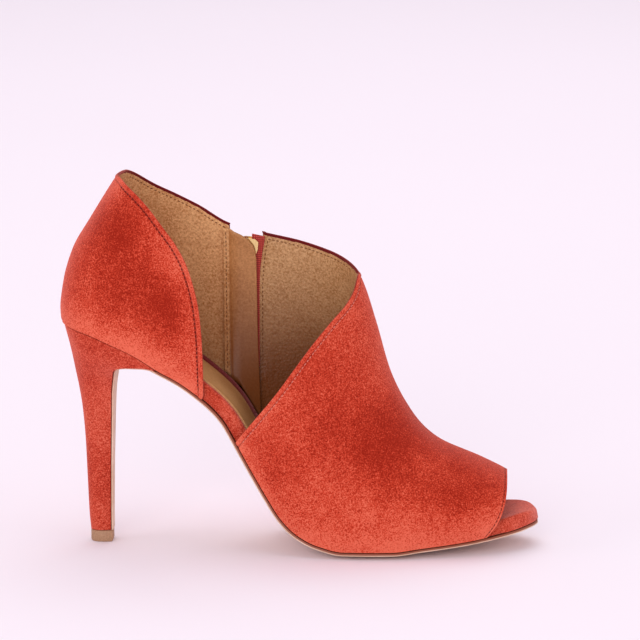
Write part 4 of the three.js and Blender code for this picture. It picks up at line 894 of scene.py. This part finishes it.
# Sock: a strip of pigskin glued on the footbed, trimmed short of its rim all round. It is rolled
# flat, so it looks smoother and a little glossier than the rough lining of the counter.
SOCK_THICK, SOCK_MARGIN, SOCK_MARGIN_INNER = 0.6, 2.4, 4.6
sock_leather = lining_leather("pigskin_sock", "#ae7644", "#cc9a66", 0.9, 0.00006, 0.5)
sock_rings = slab(
    stations(HEEL_END_X + WALL + SOCK_MARGIN + 3, 0.86 * LENGTH, 150),
    lambda x: footbed_inset(x) + SOCK_MARGIN, lambda x: footbed_inset(x) + SOCK_MARGIN_INNER,
    rounded_slab(FOOTBED_THICK + 0.02, FOOTBED_THICK + CLEARANCE + SOCK_THICK, 0.5, 0.1))
make_piece("sock", *lofted(sock_rings), [sock_leather], "boot", "tan_lining_leather", ["sock_lining"])

# Heel: moulded ABS on a steel pin, screwed up under the seat. It is covered in the same suede, glued
# on and turned in at the breast, and its section bows up to follow the seat.
TOP_PIECE_HEIGHT, BREAST_THICK = 5.2, 0.7
# Columns: rear, rearUp, breast, breastUp, width, breastWidth, seat, from the tip up to the seat.
HEEL = np.array([
    (0.0596, 0, 0.1026, 0, 0.073, 0.062, 0), (0.0567, 0.07, 0.1026, 0.07, 0.075, 0.064, 0),
    (0.0532, 0.253, 0.1034, 0.253, 0.083, 0.072, 0), (0.05, 0.43, 0.105, 0.43, 0.095, 0.083, 0),
    (0.0445, 0.58, 0.1066, 0.575, 0.112, 0.099, 0), (0.038, 0.68, 0.108, 0.665, 0.138, 0.124, 0.04),
    (0.031, 0.765, 0.1117, 0.735, 0.176, 0.161, 0.16), (0.0255, 0.835, 0.1155, 0.778, 0.222, 0.206, 0.36),
    (0.0195, 0.9, 0.1255, 0.805, 0.266, 0.25, 0.6), (0.0135, 0.95, 0.148, 0.814, 0.3, 0.285, 0.8),
    (0.009, 0.985, 0.178, 0.815, 0.325, 0.308, 0.95), (0.005, 1.012, 0.2065, 0.805, 0.345, 0.325, 1),
])
HEEL_WIDEST, HEEL_BOTTOM, HEEL_SEAT_BOW = 0.55, TOP_PIECE_HEIGHT + CLEARANCE, 0.034
SEAT_BREAST_X = HEEL[-1, 2] * LENGTH
heel_curves = [smooth_curve(np.arange(len(HEEL)), HEEL[:, i] * scale) for i, scale in enumerate(
    (LENGTH, 1, LENGTH, 1, TREAD_WIDTH, TREAD_WIDTH, 1))]


def heel_height(share):
    return HEEL_BOTTOM + share * (SEAT_HEIGHT - HEEL_BOTTOM)


def heel_point(s, u, side, grown=0.0):
    """Point of the heel's cover at section s, from its rear at u 0 to the breast at u 1."""
    rear, rear_up, breast, breast_up, wide, breast_wide, seat = (curve(s) for curve in heel_curves)
    seat = np.clip(seat, 0, 1)
    seat_x = HEEL_END_X + u * (SEAT_BREAST_X - HEEL_END_X)
    outline = np.where(side < 0, feather_lateral(seat_x), feather_medial(seat_x))
    behind = wide * np.sqrt(1 - np.clip(1 - u / HEEL_WIDEST, 0, 1) ** 2.4)
    before = wide + (breast_wide - wide) * (np.clip(u - HEEL_WIDEST, 0, 1) / (1 - HEEL_WIDEST)) ** 2
    stem = np.where(u < HEEL_WIDEST, behind, before)
    half = stem * (1 - seat) + (np.maximum(outline, 0) + OVERHANG * np.minimum(1, 20 * u)) * seat
    straight = heel_height(rear_up) + (heel_height(breast_up) - heel_height(rear_up)) * u
    return np.stack(np.broadcast_arrays(
        rear + (breast + grown - rear) * u, half * side,
        straight + HEEL_SEAT_BOW * HEEL_LIFT * seat * 4 * u * (1 - u)), -1)


round_heel = ((1 - np.cos(np.pi * np.linspace(0, 1, 37))) / 2) ** 1.15
heel_top = np.zeros(len(round_heel))
for i, u in enumerate(round_heel):
    trial = np.linspace(6, len(HEEL) - 1, 400)
    at = heel_point(trial, u, 1)
    above = at[:, 2] - (feather_height(at[:, 0]) - CLEARANCE)
    first = np.argmax(above >= 0) if (above >= 0).any() else len(trial) - 1
    heel_top[i] = np.interp(0, above[first - 1:first + 1], trial[first - 1:first + 1]) if first else trial[0]
up_heel = np.linspace(0, 1, 121)
heel_rings = []
for v in up_heel:
    outer_side = heel_point(heel_top * v, round_heel, -1)
    inner_side = heel_point(heel_top * v, round_heel, 1)
    heel_rings.append(np.concatenate([outer_side, inner_side[::-1]]))
heel_suede = sueded_leather("sueded_goat_leather_heel", "#9c2618", "#c84530", "#e46f57",
                            patch_mm=26, upper_shell=False)
make_piece("heel_cover", *lofted(heel_rings), [heel_suede], "boot", "coral_suede", ["heel"])


# Outsole: leather, 1.4 mm thick, glued under the upper's turned-in edge. Its edge is sanded and
# darker brown along its upper half, where it meets the upper. It runs on down the heel's front as the thinner
# breast flap.
def smooth_leather(name, dark, light, roughness):
    """Vegetable tanned sole leather: pale, close grained, half matt from waxing."""
    leather = new_material(name)
    place = add(leather, "ShaderNodeTexCoord").outputs["Object"]
    clouds = add(leather, "ShaderNodeTexNoise", links={"Vector": place, "Scale": 90, "Detail": 5,
                                                       "Roughness": 0.6})
    pale = add(leather, "ShaderNodeValToRGB", links={"Fac": clouds.outputs[0]},
               stops=[(0.35, colour(dark)), (0.7, colour(light))])
    up_edge = add(leather, "ShaderNodeAttribute", {"attribute_name": "up_edge"}).outputs["Fac"]
    # Darker brown along the upper half of the edge, next to the upper.
    dark_top_band = add(leather, "ShaderNodeMapRange", {"interpolation_type": "SMOOTHSTEP"},
                    {"Value": up_edge, "From Min": 0.2, "From Max": 0.5, "To Min": 0, "To Max": 0.95})
    tone = add(leather, "ShaderNodeMix", {"data_type": "RGBA"},
               {0: dark_top_band.outputs[0], 6: pale.outputs[0], 7: colour("#8c3c1a")})
    fibres = add(leather, "ShaderNodeTexNoise", links={"Vector": place, "Scale": 1600, "Detail": 4})
    bump = add(leather, "ShaderNodeBump", links={"Strength": 0.35, "Distance": 0.00008,
                                                 "Height": fibres.outputs[0]})
    shader = add(leather, "ShaderNodeBsdfPrincipled", links={
        "Base Color": tone.outputs[2], "Roughness": roughness, "Normal": bump.outputs[0]})
    add(leather, "ShaderNodeOutputMaterial", links={"Surface": shader.outputs[0]})
    return leather


sole_leather = smooth_leather("vegetable_tanned_sole", "#d9b394", "#f0d2bb", 0.5)
SOLE_GAP = CLEARANCE + 0.1
sole_rings, up_edge = [], []


def sole_ring(x, z, up_x, up_z, outer_half, inner_half, thick):
    """Section of the sole; up_edge is 0 at the sole's lower face and 1 at its upper one."""
    y, h = rounded_slab(-SOLE_GAP - thick, -SOLE_GAP, 0.25, 0.3, 16, 4)(outer_half, inner_half)
    up_edge.extend(1 + (h + SOLE_GAP) / thick if thick > BREAST_THICK else np.zeros(len(h)))
    return np.stack([x + up_x * h, y, z + up_z * h + camber(x, y)], 1)


for x in stations(SEAT_BREAST_X + 1.5, TOE_TIP_X - 0.6, 190)[::-1]:
    slope = (feather_height(x + 0.3) - feather_height(x - 0.3)) / 0.6
    outer_half = max(feather_lateral(x), -tip_y(x) + 1)
    inner_half = max(feather_medial(x), tip_y(x) + 1)
    sole_rings.append(sole_ring(x, feather_height(x), -slope / math.hypot(1, slope), 1 / math.hypot(1, slope),
                                outer_half, inner_half, SOLE_THICK - SOLE_GAP))
flap_s = np.linspace(len(HEEL) - 1, 0, 121)
flap_x, flap_up, flap_half = (heel_curves[i](flap_s) for i in (2, 3, 5))
flap_z = heel_height(flap_up)
for i in range(4, len(flap_s)):
    run_x = flap_x[max(i - 1, 0)] - flap_x[min(i + 1, len(flap_s) - 1)]
    run_z = flap_z[max(i - 1, 0)] - flap_z[min(i + 1, len(flap_s) - 1)]
    size = math.hypot(run_x, run_z)
    sole_rings.append(sole_ring(flap_x[i], flap_z[i], -run_z / size, run_x / size,
                                flap_half[i], flap_half[i], BREAST_THICK))
make_piece("outsole_leather", *lofted(sole_rings), [sole_leather], "boot", "sole_leather", ["outsole"],
           values={"up_edge": up_edge + [0.0, 0.0]})


# Top piece: the lift of hard moulded polyurethane under the heel, pinned into it and ground flush
# with the cover, its lower rim slightly rounded.
def moulded_rubber(name, dark, light):
    """Moulded polyurethane: even, matt, with a very fine grit from its mould."""
    rubber = new_material(name)
    place = add(rubber, "ShaderNodeTexCoord").outputs["Object"]
    grit = add(rubber, "ShaderNodeTexNoise", links={"Vector": place, "Scale": 1500, "Detail": 3})
    tone = add(rubber, "ShaderNodeValToRGB", links={"Fac": grit.outputs[0]},
               stops=[(0.3, colour(dark)), (0.7, colour(light))])
    bump = add(rubber, "ShaderNodeBump", links={
        "Strength": 0.3, "Distance": 0.00006, "Height": grit.outputs[0]})
    shader = add(rubber, "ShaderNodeBsdfPrincipled", links={
        "Base Color": tone.outputs[0], "Roughness": 0.6, "Normal": bump.outputs[0]})
    add(rubber, "ShaderNodeOutputMaterial", links={"Surface": shader.outputs[0]})
    return rubber


lift_grown = BREAST_THICK + CLEARANCE - 0.2
lift_middle = (HEEL[0, 0] + HEEL[0, 2]) * 0.5 * LENGTH + lift_grown / 2
lift_outline = np.concatenate([
    heel_point(0, round_heel, -1, lift_grown), heel_point(0, round_heel, 1, lift_grown)[::-1]])
lift_rings = []
for z, scale in ((0, 0.93), (0.12, 0.965), (0.35, 0.985), (0.7, 1), (2.5, 1), (4.7, 1), (5.05, 0.99),
                 (TOP_PIECE_HEIGHT, 0.97)):
    ring = lift_outline.copy()
    ring[:, 0] = lift_middle + (ring[:, 0] - lift_middle) * scale
    ring[:, 1] *= scale
    ring[:, 2] = z
    lift_rings.append(ring)
lift_rubber = moulded_rubber("moulded_polyurethane", "#a07757", "#b98f70")
make_piece("heel_lift", *lofted(lift_rings), [lift_rubber], "boot", "heel_rubber", ["top_piece"])


# Zip tapes: two bands of twill woven from polyester yarn, dyed to the suede and sewn under the folded
# edges of the inner side's opening. Depths are counted inwards from the upper's outer face.
CHAIN_DEPTH, CHAIN_THICK, TAPE_THICK, TAPE_GAP = -0.25, 0.9, 0.7, 2.2
TAPE_UNDER = 0.9  # how far the fold covers the tape's edge
TAPE_DEPTH = CHAIN_DEPTH + CHAIN_THICK + CLEARANCE
CHAIN_TOP_X = SLOT_CHAIN[-1] * LENGTH


def collar_height(x):
    return np.interp(x, collar_x, collar_z)


SLIDER_Z = float(collar_height(CHAIN_TOP_X)) - 9.2
# The guard's top edge, which the rear tape stays under: along, up as in the edges, and lift off the wall.
GUARD = np.array([(0.3355, 0.368, 0), (0.3447, 0.373, 0), (0.351, 0.355, 0.6), (0.3678, 0.32, 1.1),
                  (0.3848, 0.266, 1.1), (0.3932, 0.22, 1.1), (0.3997, 0.171, 1.1), (0.4035, 0.06, 1.1)])
guard_top = smooth_curve(GUARD[:, 0] * LENGTH, edge_height(GUARD[:, 1]))
guard_lift = smooth_curve(GUARD[:, 0] * LENGTH, GUARD[:, 2])


def wall_y(x, z):
    s, t = on_last(x, z)
    return half_width(s, np.clip(t, 0, 1), np.ones_like(s))


def wall_point(x, z, depth):
    """Point of the inner side's wall, sunk below its outer face."""
    x, z = np.broadcast_arrays(np.asarray(x, float), np.asarray(z, float))
    e = 0.5
    out = np.stack([-(wall_y(x + e, z) - wall_y(x - e, z)) / (2 * e), np.ones_like(x),
                    -(wall_y(x, z + e) - wall_y(x, z - e)) / (2 * e)], -1)
    out /= np.linalg.norm(out, axis=-1, keepdims=True)
    return np.stack([x, wall_y(x, z), z], -1) - out * np.asarray(depth)[..., None]


def wall_strip(x, z, near, thick, soft=0.2):
    """Thin body under the wall over a net of side view points, its rims softened."""
    ease = np.zeros((len(x), 1))
    ease[[0, -1]] = soft
    outer_net = wall_point(x, z, near + ease)
    inner_net = wall_point(x, z, near + thick - ease)
    return lofted(np.concatenate([outer_net, inner_net[:, ::-1]], 1))


def woven_tape(name, dark, light):
    """Woven polyester: matt, in fine checks of light and dark."""
    tape = new_material(name)
    place = add(tape, "ShaderNodeTexCoord").outputs["Object"]
    warp = add(tape, "ShaderNodeTexWave", {"bands_direction": "Z"},
               {"Vector": place, "Scale": 320, "Distortion": 0.4, "Detail": 2})
    weft = add(tape, "ShaderNodeTexWave", {"bands_direction": "X"},
               {"Vector": place, "Scale": 320, "Distortion": 0.4, "Detail": 2})
    weave = add(tape, "ShaderNodeMath", {"operation": "MULTIPLY"},
                {0: warp.outputs["Fac"], 1: weft.outputs["Fac"]})
    tone = add(tape, "ShaderNodeValToRGB", links={"Fac": weave.outputs[0]},
               stops=[(0.0, colour(dark)), (0.7, colour(light))])
    bump = add(tape, "ShaderNodeBump", links={
        "Strength": 0.8, "Distance": 0.0001, "Height": weave.outputs[0]})
    shader = add(tape, "ShaderNodeBsdfPrincipled", links={
        "Base Color": tone.outputs[0], "Roughness": 0.85, "Sheen Weight": 0.2, "Normal": bump.outputs[0]})
    add(tape, "ShaderNodeOutputMaterial", links={"Surface": shader.outputs[0]})
    return tape


red_tape = woven_tape("woven_polyester_tape", "#94221b", "#dc5246")
tape_rows, tape_columns = np.linspace(0, 1, 60)[:, None], np.linspace(0, 1, 9)[None, :]


def tape_x(z, sign, edge_of):
    """Points across a tape at height z, from beside the chain to under the fold."""
    beside_chain, under_fold = chain_x(z) + sign * TAPE_GAP / 2, edge_of(z) + sign * TAPE_UNDER
    return beside_chain * (1 - tape_columns) + under_fold * tape_columns


for name, sign, edge_of in (("rear", -1, slot_rear), ("front", 1, slot_front)):
    rough = tape_x(SLIDER_Z, sign, edge_of)
    top = guard_top(rough) - 1.2 if name == "rear" else collar_height(rough) - 1.7
    z = SLOT_BOTTOM + CLEARANCE + (top - SLOT_BOTTOM - CLEARANCE) * tape_rows
    strip = wall_strip(tape_x(z, sign, edge_of), z, np.full(9, TAPE_DEPTH), TAPE_THICK, 0.15)
    make_piece(f"tape_{name}", *strip, [red_tape], "boot", "zip_tape", [f"zip_tape_{name}"])

# The coil: nylon monofilament wound in turns 1.1 mm apart and sewn to the tapes, here drawn as the
# loops of both sides, which lock over each other in the middle.
COIL_PITCH, LOOP_LONG, LOOP_GIRTH = 1.1, 3.0, 0.44


def drawn_nylon(name, dark, light):
    """Nylon monofilament, drawn and heat set: smooth and half glossy, dyed to the tape."""
    nylon = new_material(name)
    place = add(nylon, "ShaderNodeTexCoord").outputs["Object"]
    streaks = add(nylon, "ShaderNodeTexNoise", links={"Vector": place, "Scale": 700, "Detail": 2})
    tone = add(nylon, "ShaderNodeValToRGB", links={"Fac": streaks.outputs[0]},
               stops=[(0.3, colour(dark)), (0.7, colour(light))])
    shader = add(nylon, "ShaderNodeBsdfPrincipled", links={
        "Base Color": tone.outputs[0], "Roughness": 0.35, "IOR": 1.53})
    add(nylon, "ShaderNodeOutputMaterial", links={"Surface": shader.outputs[0]})
    return nylon


coil_points, coil_faces, turns = [], [], 8
chain_low, chain_high = SLOT_BOTTOM + 1.5, SLIDER_Z + 0.5
coil_z = np.arange(chain_low + 0.4, chain_high - 0.3, COIL_PITCH / 2)[:, None]
reach = np.linspace(-0.75, LOOP_LONG - 0.55, 9)
bend = 0.16 * np.sin(np.pi * (reach + 0.75) / LOOP_LONG)
girth = LOOP_GIRTH * np.sqrt(np.clip(1 - np.abs(np.linspace(-1, 1, 9)) ** 5, 0.05, 1))
leaning = np.where(np.arange(len(coil_z)) % 2, 1, -1)[:, None]
loops = wall_point(chain_x(coil_z) + leaning * reach, coil_z, CHAIN_DEPTH + CHAIN_THICK / 2 - bend)
for middle in loops:
    run = np.gradient(middle, axis=0)
    run /= np.linalg.norm(run, axis=1, keepdims=True)
    up = np.cross(run, (0, 0, 1.0))
    up /= np.linalg.norm(up, axis=1, keepdims=True)
    side = np.cross(run, up)
    around = np.linspace(0, 2 * math.pi, turns, endpoint=False)
    rings = [m + g * (u * math.cos(a) + 0.8 * w * math.sin(a))
             for m, g, u, w in zip(middle, girth, up, side) for a in around]
    ring_points, ring_faces = lofted(np.array(rings).reshape(9, turns, 3))
    coil_faces.append(ring_faces + sum(len(p) for p in coil_points))
    coil_points.append(ring_points)
red_nylon = drawn_nylon("drawn_nylon_coil", "#7e1a17", "#aa332d")
make_piece("zip_coil", np.concatenate(coil_points), np.concatenate(coil_faces), [red_nylon], "boot",
           "zip_nylon", ["zip_chain"])

# Guard: a flap of thin calf leather, smooth and rubbed by the foot, which it keeps off the coil. Its
# front edge is loose and its rear one sewn down.
GUARD_THICK = 0.9
guard_leather = lining_leather("smooth_calf_guard", "#a66c3c", "#cc905a", 1.4, 0.00006, 0.42, 0.6, 0.85)
guard_x = np.linspace(GUARD[0, 0] * LENGTH, GUARD[-1, 0] * LENGTH, 44)


def over_footbed(x, above):
    """Height of a line that runs above the footbed's top face."""
    slope = (feather_height(x + 0.3) - feather_height(x - 0.3)) / 0.6
    return feather_height(x) + (FOOTBED_THICK + above) * np.hypot(1, slope)


guard_low = over_footbed(guard_x, 0.0)
guard_rows = np.linspace(0, 1, 70)[:, None]
guard_z = guard_low + (guard_top(guard_x) - guard_low) * guard_rows
guard_net = np.broadcast_to(guard_x, guard_z.shape)
guard_depth = WALL + CLEARANCE + 0.15 + guard_lift(guard_x)
make_piece("guard_flap", *wall_strip(guard_net, guard_z, guard_depth, GUARD_THICK, 0.25), [guard_leather],
           "boot", "tan_lining_leather", ["zip_guard"])

# Binding: a strip of the rough pigskin lining, folded over the guard's rear edge and sewn down with
# one row of brown thread beside that edge.
BINDING_WIDE, BINDING_RAISED = 2.6, 0.45
binding_x = np.linspace(guard_x[0] - 0.6, guard_x[0] - 0.6 + BINDING_WIDE, 7)
binding_low = over_footbed(binding_x, 0.0)
binding_z = binding_low + (float(guard_top(guard_x[0])) - 0.1 - binding_low) * guard_rows
binding_near = np.full(7, WALL + CLEARANCE + 0.1)
binding_swell = GUARD_THICK + BINDING_RAISED * np.sin(np.pi * np.linspace(0.12, 0.88, 7)) ** 0.5
binding_strip = wall_strip(
    np.broadcast_to(binding_x, binding_z.shape), binding_z, binding_near, binding_swell, 0.2)
make_piece("guard_binding", *binding_strip, [rough_lining], "boot", "tan_lining_leather")
sewn_x = np.full(70, guard_x[0] + 0.7)
sewn_z = np.linspace(float(guard_low[0]) + 1.5, float(guard_top(guard_x[0])) - 1.2, 70)
guard_line = wall_point(sewn_x, sewn_z, WALL + CLEARANCE + 0.1 + GUARD_THICK + BINDING_RAISED)
inward = guard_line - wall_point(sewn_x, sewn_z, WALL)
make_piece("guard_stitches", *sewn([(guard_line, inward)]), [brown_thread], "boot", "tan_lining_leather")


# Slider and pull tab: die-cast zinc, tumbled and plated a pale gold, so every edge is a little round.
# The tab hangs from the slider's bail and swings on it, and both keep their CAD meshes.
def plated_zinc(name, tint):
    """Gold plate over tumbled zinc: bright, with fine scratches from tumbling."""
    zinc = new_material(name)
    place = add(zinc, "ShaderNodeTexCoord").outputs["Object"]
    scratches = add(zinc, "ShaderNodeTexNoise", links={"Vector": place, "Scale": 1800, "Detail": 5})
    gloss = add(zinc, "ShaderNodeMapRange", links={
        "Value": scratches.outputs[0], "To Min": 0.16, "To Max": 0.34})
    bump = add(zinc, "ShaderNodeBump", links={"Strength": 0.15, "Distance": 0.00003,
                                              "Height": scratches.outputs[0]})
    shader = add(zinc, "ShaderNodeBsdfPrincipled", links={
        "Base Color": colour(tint), "Metallic": 1.0, "Roughness": gloss.outputs[0],
        "Normal": bump.outputs[0]})
    add(zinc, "ShaderNodeOutputMaterial", links={"Surface": shader.outputs[0]})
    return zinc


gold_zinc = plated_zinc("gold_plated_zinc", "#e8c98a")
for name in ("zip_slider", "zip_pull_tab"):
    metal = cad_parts[name]
    metal.data.materials.clear()
    metal.data.materials.append(gold_zinc)
    rounding = metal.modifiers.new("tumbled_edges", "BEVEL")
    rounding.width, rounding.segments = 0.00018, 3
    rounding.limit_method, rounding.angle_limit = "ANGLE", math.radians(35)


# Studio: a floor of pale paper that fills the view, lit by broad soft lamps from above and in front.
# The paper is uncoated, so it looks even and matt, with the faintest clouds. The camera's long lens
# keeps the photo's angle, and its aim and scale put the boot where the photo shows it.
TARGET = (np.array([118.098, 0, 103.189]) - frame_shift) * 0.001
AZIMUTH, ELEVATION, DISTANCE, PIXELS_PER_MM = math.radians(2.5), math.radians(10.5), 1.8, 2.20448
SENSOR, PICTURE_WIDE = 36, 640
paper = new_material("matt_paper")
paper_place = add(paper, "ShaderNodeTexCoord").outputs["Object"]
paper_tone = add(paper, "ShaderNodeTexNoise", links={"Vector": paper_place, "Scale": 0.8, "Detail": 2})
paper_colour = add(paper, "ShaderNodeValToRGB", links={"Fac": paper_tone.outputs[0]},
                   stops=[(0.3, colour("#f5ecf5")), (0.7, colour("#f7eef7"))])
paper_shader = add(paper, "ShaderNodeBsdfPrincipled", links={
    "Base Color": paper_colour.outputs[0], "Roughness": 0.9, "Specular IOR Level": 0.1})
add(paper, "ShaderNodeOutputMaterial", links={"Surface": paper_shader.outputs[0]})
floor_mesh = bpy.data.meshes.new("floor")
FLOOR_HALF = 9
floor_mesh.from_pydata([(x * FLOOR_HALF, y * FLOOR_HALF, 0) for x, y in ((-1, -1), (1, -1), (1, 1), (-1, 1))],
                       [], [(0, 1, 2, 3)])
floor_mesh.materials.append(paper)
floor = bpy.data.objects.new("floor", floor_mesh)
bpy.context.scene.collection.objects.link(floor)

for name, place, aim, size, power in (
    ("overhead", (0.0, 0.6, 2.6), (0.0, 0.5, 0.0), 3.0, 28),
    ("backdrop", (0.0, 2.6, 2.4), (0.0, 2.2, 0.0), 3.0, 18),
    ("front", (-0.4, -2.6, 0.9), (0.0, 0.0, 0.06), 1.6, 24),
    ("right", (1.5, -0.6, 0.8), (0.0, 0.0, 0.06), 0.9, 1.8),
    ("left", (-1.6, -0.5, 0.9), (0.0, 0.0, 0.06), 0.9, 2.4),
):
    light_data = bpy.data.lights.new(name, "AREA")
    light_data.shape, light_data.size, light_data.energy = "DISK", size, power
    light = bpy.data.objects.new(name, light_data)
    light.location = place
    down = np.array(aim) - np.array(place)
    light.rotation_euler = (math.atan2(math.hypot(down[0], down[1]), -down[2]), 0,
                            math.atan2(-down[0], down[1]))
    bpy.context.scene.collection.objects.link(light)
world = bpy.data.worlds.new("soft_room")
world.use_nodes = True
world.node_tree.nodes["Background"].inputs[0].default_value = colour("#fdf6fc")
world.node_tree.nodes["Background"].inputs[1].default_value = 0.58
bpy.context.scene.world = world
bpy.context.scene.view_settings.view_transform = "Standard"

camera_data = bpy.data.cameras.new("camera")
camera_data.sensor_width = SENSOR
camera_data.lens = SENSOR * PIXELS_PER_MM * DISTANCE * 1000 / PICTURE_WIDE
camera = bpy.data.objects.new("camera", camera_data)
back = np.array([math.sin(AZIMUTH) * math.cos(ELEVATION), -math.cos(AZIMUTH) * math.cos(ELEVATION),
                 math.sin(ELEVATION)])
camera.location = TARGET + back * DISTANCE
camera.rotation_euler = (math.pi / 2 - ELEVATION, 0, AZIMUTH)
bpy.context.scene.collection.objects.link(camera)
bpy.context.scene.camera = camera
